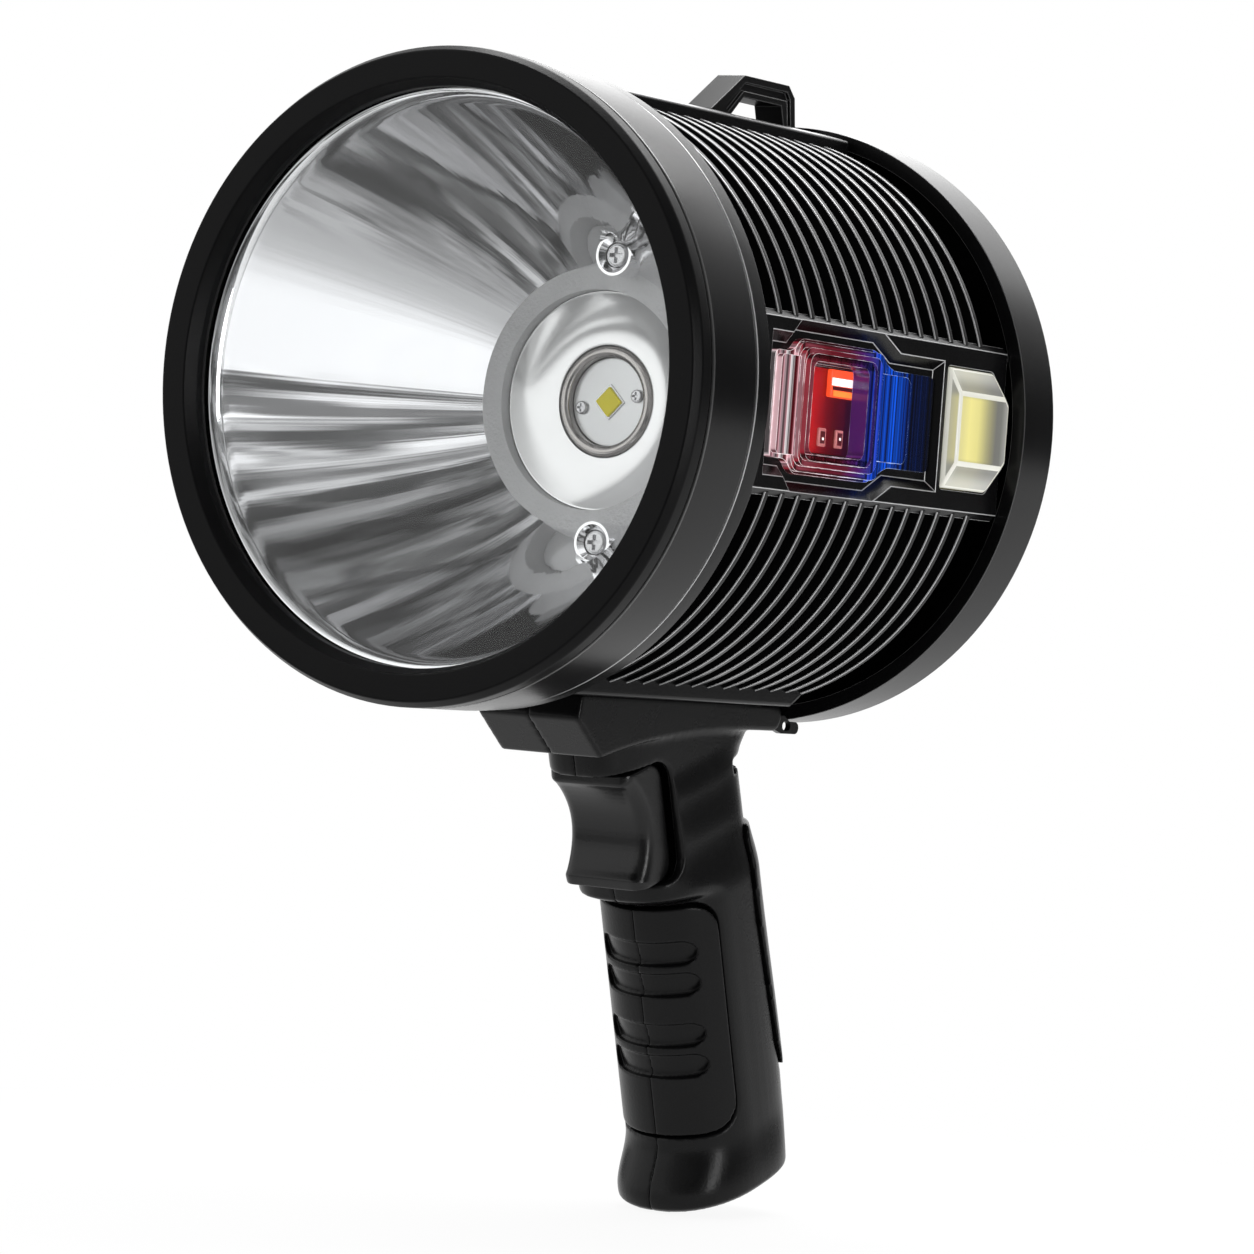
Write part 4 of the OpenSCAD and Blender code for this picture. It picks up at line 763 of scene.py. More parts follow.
def glowing(name, base, glow, strength, roughness):
    """A glowing piece, for the lamps and for painted glow and highlights, with a faint unevenness in its glow.
    """
    material, nodes, links, shader = new_material(name)
    place, cloud = fresh(nodes, "TexCoord", "TexNoise")
    cloud.inputs["Scale"].default_value = 350.0
    mix = colour_mix(nodes)
    set_inputs(mix, {"A": (*[value * 0.75 for value in glow], 1), "B": (*glow, 1)})
    wire(
        links, (place, "Object", cloud, "Vector"), (cloud, "Fac", mix, "Factor"),
        (mix, "Result", shader, "Emission Color")
    )
    set_inputs(shader, {"Base Color": (*base, 1), "Emission Strength": strength, "Roughness": roughness})
    return material


def set_stops(ramp, stops):
    """Gives a colour ramp its stops, from pairs of position and colour."""
    elements = ramp.color_ramp.elements
    for i in range(len(stops) - len(elements)):
        elements.new((i + 1) / len(stops))
    for stop, (position, tone) in zip(elements, stops):
        stop.position = position
        stop.color = (*tone, 1)


def coordinates(nodes, links):
    """A node with the coordinates of a point of the object."""
    place, split = fresh(nodes, "TexCoord", "SeparateXYZ")
    wire(links, (place, "Object", split, "Vector"))
    return split


def along_head(nodes, links, start, stops):
    """A colour ramp that runs along the head, from pairs of a depth in mm behind a start and a colour."""
    stops = [(start + depth * MM, tone) for depth, tone in stops]
    first, last = stops[0][0], stops[-1][0]
    split = coordinates(nodes, links)
    spread, ramp = fresh(nodes, "MapRange", "ValToRGB")
    set_inputs(spread, {"From Min": HEAD_FRONT + first, "From Max": HEAD_FRONT + last})
    set_stops(ramp, [((depth - first) / (last - first), tone) for depth, tone in stops])
    wire(links, (split, "Y", spread, "Value"), (spread, "Result", ramp, "Fac"))
    return ramp


def beacon_board_finish(panel, finish):
    """The board behind the beacon, with the glow of the red and blue lights painted on it as emission: red in
    front, dark in the middle, blue behind.
    """
    material, nodes, links, shader = new_material("beacon_board_painted_glow")
    red, blue = Vector(finish.red), Vector(finish.blue)
    ramp = along_head(nodes, links, panel.recess_start, [
        (3, red * 0.3), (17, red * 0.55), (23, red * 0.7), (29.5, red * 0.2), (33, red * 0.1),
        (40, red * 0.07 + blue * 0.01), (43, red * 0.12 + blue * 0.12), (47, red * 0.06 + blue * 0.25),
        (52, blue * 0.6), (60, blue * 0.12), (69, blue * 0.03),
    ])
    wire(links, (ramp, "Color", shader, "Base Color"), (ramp, "Color", shader, "Emission Color"))
    set_inputs(shader, {"Emission Strength": 0.6, "Roughness": 0.3})
    return material


def distance_from(nodes, links, socket, middle, half):
    """How far a coordinate lies outside a span round a middle."""
    away = math_node(nodes, links, "SUBTRACT", socket, middle)
    size = math_node(nodes, links, "ABSOLUTE", away, 0.0)
    return math_node(nodes, links, "SUBTRACT", size, half)


def beacon_wall_finish(panel):
    """Walls and steps of the beacon's lens, painted in place of what the clear lens shows: rose in front, blue
    behind, with painted reflection lines that follow the dome, painted white highlight bands and painted
    glints.
    """
    material, nodes, links, shader = new_material("beacon_lens_painted_walls")
    start = panel.recess_start
    # Painted light: rose, white and blue bands stand in for the lit board and its reflections seen in the clear
    # lens.
    ramp = along_head(nodes, links, start, (
        (1.8, (0.2, 0.09, 0.1)), (3.0, (0.8, 0.7, 0.72)), (4.0, (0.34, 0.1, 0.13)), (5.4, (0.66, 0.48, 0.52)),
        (6.9, (0.4, 0.14, 0.17)), (7.2, (1.0, 0.93, 0.95)), (8.4, (1.0, 0.93, 0.95)),
        (8.7, (0.1, 0.003, 0.008)), (9.8, (0.2, 0.01, 0.02)), (10.5, (0.6, 0.36, 0.4)),
        (11.6, (0.22, 0.012, 0.022)), (14.5, (0.36, 0.07, 0.1)), (22.0, (0.22, 0.012, 0.025)),
        (31.0, (0.18, 0.016, 0.04)), (36.5, (0.12, 0.02, 0.22)), (40.0, (0.05, 0.04, 0.36)),
        (43.5, (0.004, 0.06, 0.55)), (52.0, (0.003, 0.08, 0.62)), (55.0, (0.002, 0.035, 0.32)),
        (58.5, (0.0, 0.008, 0.07)), (69.0, (0.0, 0.002, 0.014)),
    ))
    split = coordinates(nodes, links)
    middle = HEAD_FRONT + start + 27 * MM
    along = distance_from(nodes, links, split.outputs["Y"], middle, 15 * MM)
    above = distance_from(nodes, links, split.outputs["Z"], 0.0, panel.middle_half - panel.margin)
    lines = nodes.new("ShaderNodeTexNoise")
    lines.noise_dimensions = "1D"
    set_inputs(lines, {"Scale": 900.0, "Detail": 1.0})
    links.new(math_node(nodes, links, "MAXIMUM", along, above), lines.inputs["W"])
    # Painted reflection lines: depth shades the walls up and down along the lines, and bright adds painted
    # glints on them.
    depth, bright = fresh(nodes, "MapRange", "MapRange")
    for spread, values in ((depth, (0.38, 0.62, 0.2, 1.4)), (bright, (0.6, 0.66, 0.0, 0.8))):
        span_of(spread, *values)
        links.new(lines.outputs["Fac"], spread.inputs["Value"])
    shade, painted_glint = colour_mix(nodes, "MULTIPLY"), colour_mix(nodes, "ADD")
    shade.inputs["Factor"].default_value = 1.0
    wire(
        links, (ramp, "Color", shade, "A"), (depth, "Result", shade, "B"), (bright, "Result", painted_glint, "Factor"),
        (shade, "Result", painted_glint, "A"), (ramp, "Color", painted_glint, "B")
    )
    body = colour_mix(nodes, "MULTIPLY")
    set_inputs(body, {"Factor": 1.0, "B": (0.4, 0.4, 0.4, 1)})
    wire(
        links, (painted_glint, "Result", body, "A"), (body, "Result", shader, "Base Color"),
        (painted_glint, "Result", shader, "Emission Color")
    )
    set_inputs(shader, {"Emission Strength": 0.4, "Roughness": 0.1})
    return material


def beacon_edge_finish(panel):
    """Painted glints on the edges of the beacon's lens, rose in front and pale blue behind, that come and go.
    """
    material, nodes, links, shader = new_material("beacon_lens_painted_glints")
    ramp = along_head(nodes, links, panel.recess_start, (
        (1.8, (0.9, 0.82, 0.83)), (20.0, (0.85, 0.68, 0.7)), (35.0, (0.75, 0.68, 0.85)),
        (44.0, (0.5, 0.65, 1.0)), (56.0, (0.4, 0.58, 0.95)), (60.0, (0.05, 0.06, 0.09)),
        (70.0, (0.03, 0.035, 0.05)),
    ))
    place, cloud = fresh(nodes, "TexCoord", "TexNoise")
    cloud.inputs["Scale"].default_value = 260.0
    fade, shade = nodes.new("ShaderNodeMapRange"), colour_mix(nodes, "MULTIPLY")
    span_of(fade, 0.4, 0.56, 0.16, 1.0)
    shade.inputs["Factor"].default_value = 1.0
    wire(
        links, (place, "Object", cloud, "Vector"), (cloud, "Fac", fade, "Value"), (ramp, "Color", shade, "A"),
        (fade, "Result", shade, "B"), (shade, "Result", shader, "Base Color"),
        (shade, "Result", shader, "Emission Color")
    )
    set_inputs(shader, {"Emission Strength": 0.9, "Roughness": 0.1})
    return material


def frosted_finish(panel, finish):
    """The side lamp's frosted lens: milky, with the glow of its lit strip inside, painted shade that greys it
    towards its rear, and painted highlights at both ends and on its top and bottom slopes.
    """
    material, nodes, links, shader = new_material("frosted_lamp_lens")
    dark, glow, milk = (0, 0, 0), Vector(finish.glow), Vector(finish.frosted)
    ramp = along_head(nodes, links, panel.lamp_start, (
        (0, glow * 0.15), (2.5, glow * 0.75), (6, glow), (10, glow * 0.9), (14, glow * 0.35), (18, dark),
        (25, dark)
    ))
    # Painted shade and highlight: the lens's own colour, greyed along most of its length and lightened at its
    # front and rear ends.
    body = along_head(nodes, links, panel.lamp_start, (
        (0, milk * 0.7), (3, milk * 0.4), (9, milk * 0.35), (16, milk * 0.3), (20, milk * 0.35),
        (24, milk * 0.9)
    ))
    split = coordinates(nodes, links)
    size = distance_from(nodes, links, split.outputs["Z"], 0.0, 0.0)
    # fade keeps the glow to the middle band; slope paints the top and bottom slopes paler, a painted highlight.
    fade, slope = fresh(nodes, "MapRange", "MapRange")
    for spread, values in ((fade, (6.4 * MM, 8.6 * MM, 1.0, 0.12)), (slope, (9 * MM, 12.6 * MM, 0.0, 0.7))):
        spread.interpolation_type = "SMOOTHSTEP"
        span_of(spread, *values)
        links.new(size, spread.inputs["Value"])
    lit, pale = colour_mix(nodes), colour_mix(nodes)
    lit.inputs["A"].default_value = (0, 0, 0, 1)
    pale.inputs["B"].default_value = (*finish.frosted, 1)
    wire(
        links, (fade, "Result", lit, "Factor"), (ramp, "Color", lit, "B"), (slope, "Result", pale, "Factor"),
        (body, "Color", pale, "A"), (lit, "Result", shader, "Emission Color"),
        (pale, "Result", shader, "Base Color")
    )
    set_inputs(shader, {"Emission Strength": 0.7, "Roughness": 0.2, "Coat Weight": 0.4})
    return material


def make_finishes(scene):
    """Builds every finish once."""
    tone, panel = scene.searchlight_finish, scene.searchlight_panel
    # Name, colour, smoothest, roughest, grain scale, grain height, spread, metallic and gloss
    for key, *values in (
        ("bezel", "satin_bezel_black", tone.shell, 0.28, 0.36, 2600, 0.00002, 0.25, 0.0, 0.08),
        ("shell", "satin_shell_black", tone.shell, 0.2, 0.28, 2600, 0.00001, 0.25, 0.0, 0.2),
        ("loop", "satin_loop_black", tone.shell, 0.3, 0.38, 2600, 0.000003, 0.25, 0.0, 0.16),
        ("fins", "fin_black", tone.shell, 0.2, 0.28, 2200, 0.00002, 0.25, 0.0, 0.16),
        # Painted highlights: pale finishes for the bevelled edges of the barrel and of the rings and the loop.
        ("fin_edge", "bright_fin_edge", tone.edge, 0.16, 0.24, 2200, 0.00001, 0.2, 0.3),
        ("shell_edge", "bright_shell_edge", Vector(tone.edge) * 0.13, 0.16, 0.24, 2600, 0.00001, 0.2),
        ("grip", "grip_black", tone.grip, 0.24, 0.32, 2000, 0.00003, 0.25, 0.0, 0.17),
        ("trigger", "trigger_black", tone.grip, 0.22, 0.3, 2000, 0.00003, 0.25, 0.0, 0.32),
        ("rubber", "pad_rubber", tone.rubber, 0.26, 0.34, 1600, 0.00004, 0.25, 0.0, 0.16),
        ("seal", "seal_rubber", tone.rubber, 0.6, 0.75, 1800, 0.00004),
        ("dish", "dish_polish", tone.dish, 0.1, 0.18, 900, 0.000005, 0.03, 0.65),
        ("cast", "blasted_metal", tone.cast, 0.45, 0.6, 1500, 0.00025, 0.3, 0.6),
        ("ring", "dark_chrome", tone.ring, 0.1, 0.2, 1500, 0.000003, 0.1, 1.0),
        ("steel", "plated_steel", tone.steel, 0.2, 0.34, 3000, 0.00001, 0.1, 1.0),
        ("board", "pale_emitter_board", tone.board, 0.25, 0.35, 3000, 0.00001, 0.06, 0.6),
        ("green", "green_board", (0.02, 0.16, 0.06), 0.3, 0.5, 1500, 0.00002),
        ("cell", "cell_wrap", (0.04, 0.16, 0.42), 0.25, 0.35, 900, 0.00001),
        ("switch", "switch_case", (0.03, 0.03, 0.035), 0.4, 0.5, 2000, 0.00002),
        ("plunger", "switch_plunger_red", (0.4, 0.05, 0.03), 0.35, 0.45, 2000, 0.00002),
    ):
        FINISH[key] = grained(*values)
    # Name, colour, glow, strength and roughness
    for key, *values in (
        ("chip", "yellow_phosphor", tone.phosphor, tone.phosphor, 0.12, 0.45),
        ("red", "red_lamp", (0.7, 0.05, 0.02), (1.0, 0.09, 0.02), 1.1, 0.3),
        ("white", "white_lamp_face", (0.9, 0.88, 0.85), (1.0, 0.93, 0.86), 1.0, 0.3),
        ("blue", "blue_lamp", (0.05, 0.15, 0.8), (0.12, 0.35, 1.0), 1.2, 0.3),
        ("orange", "orange_lamp", (0.8, 0.2, 0.03), (1.0, 0.26, 0.04), 1.0, 0.3),
        # Painted light: dark also paints a faint red glow on the resistors' tops, and resistor paints red light
        # on their rims.
        ("dark", "dark_red_lamp", (0.06, 0.006, 0.006), (0.12, 0.006, 0.006), 0.5, 0.3),
        ("resistor", "resistor_rim", (0.5, 0.18, 0.17), (0.6, 0.2, 0.18), 0.4, 0.4),
        # Painted highlight: a pale glowing finish for the side lamp's bevelled edges.
        ("lamp_edge", "frosted_lamp_edge", tone.frosted, (0.9, 0.88, 0.74), 0.25, 0.15),
    ):
        FINISH[key] = glowing(*values)
    FINISH["mirror"] = mirror_finish("mirror_coat", tone.mirror, 60.0, 0.00003)
    FINISH["lens"] = clear_finish("clear_front_lens", (0.97, 0.98, 0.98), 1.3, 0.001)
    FINISH["beacon"] = clear_finish("clear_beacon_lens", (0.96, 0.93, 0.96), 1.25, 0.004)
    FINISH["beacon_painted_glints"] = beacon_edge_finish(panel)
    FINISH["beacon_painted_walls"] = beacon_wall_finish(panel)
    FINISH["beacon_board"] = beacon_board_finish(panel, tone)
    FINISH["frosted"] = frosted_finish(panel, tone)


# The head

def build_rings(scene):
    """Bezel, seal, collar and rear cover."""
    head = scene.searchlight_head
    lens_front = depth_of("front_lens")[0]
    lens_edge = high("front_lens").x
    lip = depth_of("lens_seal")[0]
    skirt_end = depth_of("bezel_ring")[1]
    bezel = turned("bezel_moulding", [
        (head.opening + head.opening_bevel, 0),
        (head.radius - head.face_bevel, 0),
        (head.radius, head.side_bevel),
        (head.radius, head.bezel_length),
        (head.skirt, head.bezel_length),
        (head.skirt, skirt_end),
        (lens_edge + NEST, skirt_end),
        (lens_edge + NEST, lip),
        (head.opening, lip),
        (head.opening, head.opening_depth),
    ])
    soften(bezel, 0.35 * MM, 3, angle=20)
    fit_smooth(bezel, "bezel", "black_shell", "bezel_ring")
    seal = turned("seal_ring", [
        (head.opening, lip), (lens_edge, lip), (lens_edge, lens_front), (head.opening, lens_front)
    ])
    soften(seal, 0.15 * MM)
    fit_smooth(seal, "seal", "rubber", "lens_seal")
    collar_start = head.bezel_length + head.groove
    collar_end = collar_start + head.collar_length
    bore = head.skirt + 0.2 * MM
    collar = turned("collar_moulding", [
        (bore, collar_start), (head.radius, collar_start), (head.radius, collar_end), (bore, collar_end),
        (bore, skirt_end + 0.2 * MM),
    ])
    # Painted highlight on the collar's bevelled edges.
    give_finishes(collar, "shell", "shell_edge")
    soften(collar, 0.5 * MM, 2, slot=1)
    fit_smooth(collar, "shell", "black_shell", "front_collar")
    rear_start, rear_end = depth_of("rear_cover")
    back = rear_end - head.rear_back
    inner = head.rear_radius - head.rear_wall
    sunk = rear_end - 0.7 * MM
    ring_groove = ((0.86, rear_end), (0.85, sunk), (0.83, sunk), (0.82, rear_end))
    cover = turned("rear_moulding", [
        (inner, rear_start),
        (head.rear_radius, rear_start),
        (head.rear_radius, rear_end - head.rear_bevel),
        (head.rear_radius - head.rear_bevel, rear_end),
        *((head.rear_radius * share, depth) for share, depth in ring_groove),
        (0, rear_end),
    ], closed=False)
    inside = turned("rear_inside", [(0, back), (inner, back), (inner, rear_start)], closed=False)
    cover = joined("rear_moulding", [cover, inside])
    tidy_mesh(cover)
    reach, face = high("rear_screws").x - SCREW_RADIUS, HEAD_FRONT + rear_end
    spots = [Vector((sx * reach, 0, sz * reach)) for sx in (-1, 1) for sz in (-1, 1)]
    for spot in spots:
        centre = beside_axis(spot, face)
        carve(cover, rod(
            "screw_well", 3.1 * MM, centre - Vector((0, 2.6 * MM, 0)), centre + Vector((0, 3 * MM, 0))
        ))
    # Painted highlight on the rear cover's bevelled edges.
    give_finishes(cover, "shell", "shell_edge")
    soften(cover, 0.4 * MM, 2, slot=1, angle=25)
    fit_smooth(cover, "shell", "black_shell", "rear_cover")
    places = [Matrix.Translation(beside_axis(spot, face - 0.6 * MM)) @ FACE_BACK for spot in spots]
    screw_group("rear_screw_heads", "rear_screws", places)


def build_mirror(scene):
    """Front lens, mirror bowl and the screws in its bosses."""
    head, mirror = scene.searchlight_head, scene.searchlight_mirror
    lens_front, lens_rear = depth_of("front_lens")
    lens_edge = high("front_lens").x
    pane = turned("lens_pane", [
        (0, lens_front), (lens_edge, lens_front), (lens_edge, lens_rear), (0, lens_rear)
    ], closed=False)
    fit_smooth(pane, "lens", "clear_lens", "front_lens")
    reach = mirror.focus_depth - mirror.mouth_depth
    focal = (math.hypot(reach, mirror.mouth) - reach) / 2
    vertex = mirror.focus_depth + focal
    neck_depth = vertex - mirror.neck ** 2 / (4 * focal)
    steps = 40
    depths = [mirror.mouth_depth + (neck_depth - mirror.mouth_depth) * i / steps for i in range(steps + 1)]
    inner = [(math.sqrt(4 * focal * (vertex - depth)), depth) for depth in depths]
    outer = [(radius + mirror.wall, depth) for radius, depth in reversed(inner)]
    rim = lens_rear + 1.2 * MM
    roll = [
        (lens_edge - 2.6 * MM, rim), (lens_edge, rim), (lens_edge, lens_rear), (head.opening, lens_rear),
        (head.opening - 0.9 * MM, lens_rear + 0.5 * MM), (mirror.mouth + 0.5 * MM, mirror.mouth_depth - 1 * MM),
    ]
    bowl = turned("mirror_bowl", inner + outer + roll, steps=200)
    places, cutters = [], []
    face, end = HEAD_FRONT + mirror.boss_depth, HEAD_FRONT + neck_depth
    mouth, sink = HEAD_FRONT + mirror.mouth_depth, face + 3 * MM
    for side in (-1, 1):
        spot = spot_round_axis(side * mirror.boss_angle, mirror.boss_place)
        unite(bowl, axis_rod("boss", mirror.boss, spot, face, end, 64))
        relief = axis_rod("relief", mirror.boss + 0.05 * MM, spot, mouth, face + 0.05 * MM, 60)
        unite(relief, axis_rod("sunk", 4.2 * MM, spot, face - 0.2 * MM, face + 1.6 * MM, 56, 2.6 * MM))
        unite(relief, axis_rod("well", 2.9 * MM, spot, face - 2 * MM, sink))
        cutters.append(relief)
        places.append(Matrix.Translation(beside_axis(spot, sink - SCREW_HEIGHT)) @ FACE_FRONT)
    carve(bowl, *cutters)
    tidy_mesh(bowl)
    fit_smooth(bowl, "mirror", "mirror_coat", "reflector")
    screw_group("mirror_screw_heads", "reflector_screws", places)


def build_emitter(scene):
    """Polished dish, retaining ring, round board, square emitter and board screws."""
    mirror = scene.searchlight_mirror
    board_face, pocket = depth_of("emitter_board")
    board_edge = high("emitter_board").x
    ring_top, ring_edge = depth_of("emitter_retainer")[0], high("emitter_retainer").x
    dish_edge, dish_bore = high("emitter_dish").x, ring_edge + NEST
    dish_low = ring_top + 0.6 * MM
    steps = 24
    bowl = []
    for i in range(steps + 1):
        share = i / steps
        radius = dish_edge + (dish_bore - dish_edge) * share
        bowl.append((radius, dish_low - mirror.dish_hollow * (1 - share) ** 2))
    dish = turned("dish_bowl", [(dish_bore, pocket), (dish_edge, pocket)] + bowl)
    soften(dish, 0.12 * MM, 2, angle=40)
    fit_smooth(dish, "dish", "mirror_coat", "emitter_dish")
    bore = board_edge + NEST
    ring = turned("retaining_ring", [
        (bore, pocket), (ring_edge, pocket), (ring_edge, ring_top + 0.9 * MM), (ring_edge - 0.8 * MM, ring_top),
        (bore + 0.7 * MM, ring_top), (bore, ring_top + 0.6 * MM)
    ])
    soften(ring, 0.25 * MM, 3, angle=20)
    fit_smooth(ring, "ring", "polished_ring", "emitter_retainer")
    board = turned("round_board", [
        (0, board_face), (board_edge, board_face), (board_edge, pocket), (0, pocket)
    ], 96, closed=False)
    soften(board, 0.15 * MM)
    fit_smooth(board, "board", "emitter_plate", "emitter_board")
    top = HEAD_FRONT + depth_of("emitter_chip")[0]
    turn = Matrix.Rotation(math.pi / 4, 4, "Y")
    half = mirror.chip / 2
    face = HEAD_FRONT + board_face
    chip = settle(block("emitter_square", (-half, top, -half), (half, face, half)), turn)
    soften(chip, 0.2 * MM, 3)
    fit_smooth(chip, "chip", "phosphor", "emitter_chip")
    rim = half + 0.45 * MM
    tray = settle(block("emitter_frame", (-rim, face - 0.35 * MM, -rim), (rim, face + 0.1 * MM, rim)), turn)
    soften(tray, 0.12 * MM)
    fit_smooth(tray, "steel", "emitter_plate")
    places = []
    for flip in (0, math.pi):
        spot = spot_round_axis(flip + mirror.screw_tilt, mirror.screw_place)
        places.append(Matrix.Translation(beside_axis(spot, face - 0.9 * MM)) @ FACE_FRONT)
    screw_group("board_screw_heads", "board_screws", places, 1.5 * MM, 1 * MM)


def recess_outline(panel, margin):
    """Outline of the beacon's recess in depth and height, drawn in by a margin."""
    widen = panel.widen + margin * 0.4
    narrow = panel.narrow - margin * 0.4
    end = max(margin, 0)
    upper = [
        (end, panel.front_half - margin),
        (widen, panel.front_half - margin),
        (widen + panel.front_slope, panel.middle_half - margin),
        (narrow, panel.middle_half - margin),
        (narrow + panel.rear_slope, panel.rear_half - margin),
        (panel.recess_length - end, panel.rear_half - margin),
    ]
    outline = upper + [(depth, -height) for depth, height in reversed(upper)]
    return [(panel.recess_start + depth, height) for depth, height in outline]


def lamp_outline(panel, margin, slope):
    """Outline of the side lamp in depth and height, drawn in by a margin and by a slope."""
    top = panel.lamp_half - margin - slope
    front = panel.lamp_start + margin
    rear = panel.lamp_start + panel.lamp_length - margin
    cut = max(panel.lamp_corner - slope, 1 * MM)
    upper = [(front, top), (rear - cut, top), (rear, top - cut)]
    return upper + [(depth, -height) for depth, height in reversed(upper)]


def build_barrel(scene):
    """Finned barrel with its flange, rails and side panels."""
    head, panel = scene.searchlight_head, scene.searchlight_panel
    flange_start = head.bezel_length + 2 * head.groove + head.collar_length
    flange_end = flange_start + head.flange_length
    core = head.fin_tip - head.fin_depth
    bore = core - head.core_wall
    spigot = flange_start - 4.5 * MM
    profile = [
        (bore + 6 * MM, spigot), (head.skirt, spigot), (head.skirt, flange_start), (head.flange, flange_start),
        (head.flange, flange_end), (core, flange_end),
    ]
    tip = head.fin_thickness / 2
    for i in range(head.fin_count):
        middle = flange_end + head.fin_lead + i * head.fin_pitch
        first, last = middle - tip, middle + tip
        profile += [(core, first), (head.fin_tip, first), (head.fin_tip, last), (core, last)]
    profile += [(core, head.barrel_end), (bore, head.barrel_end), (bore, flange_end)]
    barrel = turned("barrel_casting", profile, steps=180)
    # Painted highlight on the barrel's bevelled edges, taken off again where they face the rear.
    give_finishes(barrel, "fins", "fin_edge")
    soften(barrel, 0.27 * MM, 2, slot=1, angle=28)
    for face in barrel.data.polygons:
        if face.normal.y > 0.1:
            face.material_index = 0
    start, end = HEAD_FRONT + flange_end, HEAD_FRONT + head.barrel_end
    far = 0.1
    for side in (-1, 1):
        for inner, half in ((core + 0.4 * MM, panel.half - 0.7 * MM), (panel.face, panel.half)):
            across = sorted((side * inner, side * far))
            carve(barrel, block("panel_relief", (across[0], start, -half), (across[1], end + MM, half)))
    half = head.keel_half
    carve(barrel, block("keel_relief", (-half, start, -far), (half, end + MM, -head.keel_drop)))
    inset = flange_end - 1.5 * MM
    unite(barrel, side_panel(panel, -1, core, inset), side_panel(panel, 1, core, inset))
    unite(barrel, keel_bar(head, core, inset), top_rail(head, core, inset))
    fit_smooth(barrel, "fins", "black_shell", "finned_barrel")


def barrel_root(half, edge, middle):
    """Where a rail runs into the barrel's wall, as points of width and distance from the axis."""
    return [(half, edge), (half / 2, middle), (-half / 2, middle), (-half, edge)]


def keel_bar(head, core, start):
    """The flat keel under the barrel, with a slope at its rear end."""
    half, drop = head.keel_half, head.keel_drop
    outline = [(across, -height) for across, height in barrel_root(half, core - 5.8 * MM, core - 2.6 * MM)]
    bar = long_prism("keel", outline + [(-half, -drop), (half, -drop)], start, head.keel_end)
    give_finishes(bar, "fins", "fin_edge")
    pitch = head.keel_rise / head.keel_slope
    first, last = head.keel_end - head.keel_slope - MM, head.keel_end + MM
    low_edge = -drop - pitch * MM
    slope = [(first, low_edge), (last, low_edge), (last, low_edge + pitch * (last - first))]
    carve(bar, side_prism("keel_slope", slope, 2 * half))
    soften(bar, 0.9 * MM, 3)
    return bar


def side_panel(panel, side, core, start):
    """One flat side panel. The panel on the right has the beacon's recess and the lamp's pocket."""
    face, half, bevel = panel.face, panel.half, panel.bevel
    outline = [(inner, height) for height, inner in barrel_root(half, core - 5 * MM, core - 2.4 * MM)]
    outline += [(face - bevel, -half), (face, bevel - half), (face, half - bevel), (face - bevel, half)]
    slab = long_prism("side_panel", [(side * across, height) for across, height in outline], start, panel.end)
    # Painted highlight on the panel's bevelled edges.
    give_finishes(slab, "fins", "fin_edge")
    if side > 0:
        floor = face - panel.recess_depth
        well = floor - panel.well_depth
        far = face + 10 * MM
        slope = panel.recess_slope
        rings = [(floor, slope / 2), (face, -slope / 2), (2 * face - floor, -1.5 * slope)]
        carve(slab, panel_loft("recess", [(across, recess_outline(panel, margin)) for across, margin in rings]))
        pocket = lamp_outline(panel, -0.3 * MM, 0)
        carve(slab, panel_prism("pocket", pocket, face - 5 * MM, far, 0.8 * MM))
        start = HEAD_FRONT + panel.recess_start
        front, rear = start + panel.margin + 1 * MM, start + panel.recess_length - panel.margin - 1 * MM
        carve(slab, block("light_well", (well, front, -panel.well_half), (far, rear, panel.well_half)))
    soften(slab, 0.45 * MM, 2, slot=1, angle=25)
    return slab


def top_rail(head, core, start):
    """The crowned rail along the top of the barrel."""
    reach = math.asin(head.rail_half / head.rail_radius)
    crown = []
    for i in range(13):
        angle = reach * (1 - 2 * i / 12)
        crown.append((head.rail_radius * math.sin(angle), head.rail_radius * math.cos(angle)))
    outline = crown + barrel_root(head.rail_half, core - 4.4 * MM, core - 2.3 * MM)[::-1]
    rail = long_prism("top_rail", outline, start, head.rail_end)
    give_finishes(rail, "fins", "fin_edge")
    soften(rail, 0.6 * MM, 3)
    return rail


def strip(first, last, half):
    """A rectangle on the side panel, from one depth to another."""
    return [(first, half), (last, half), (last, -half), (first, -half)]


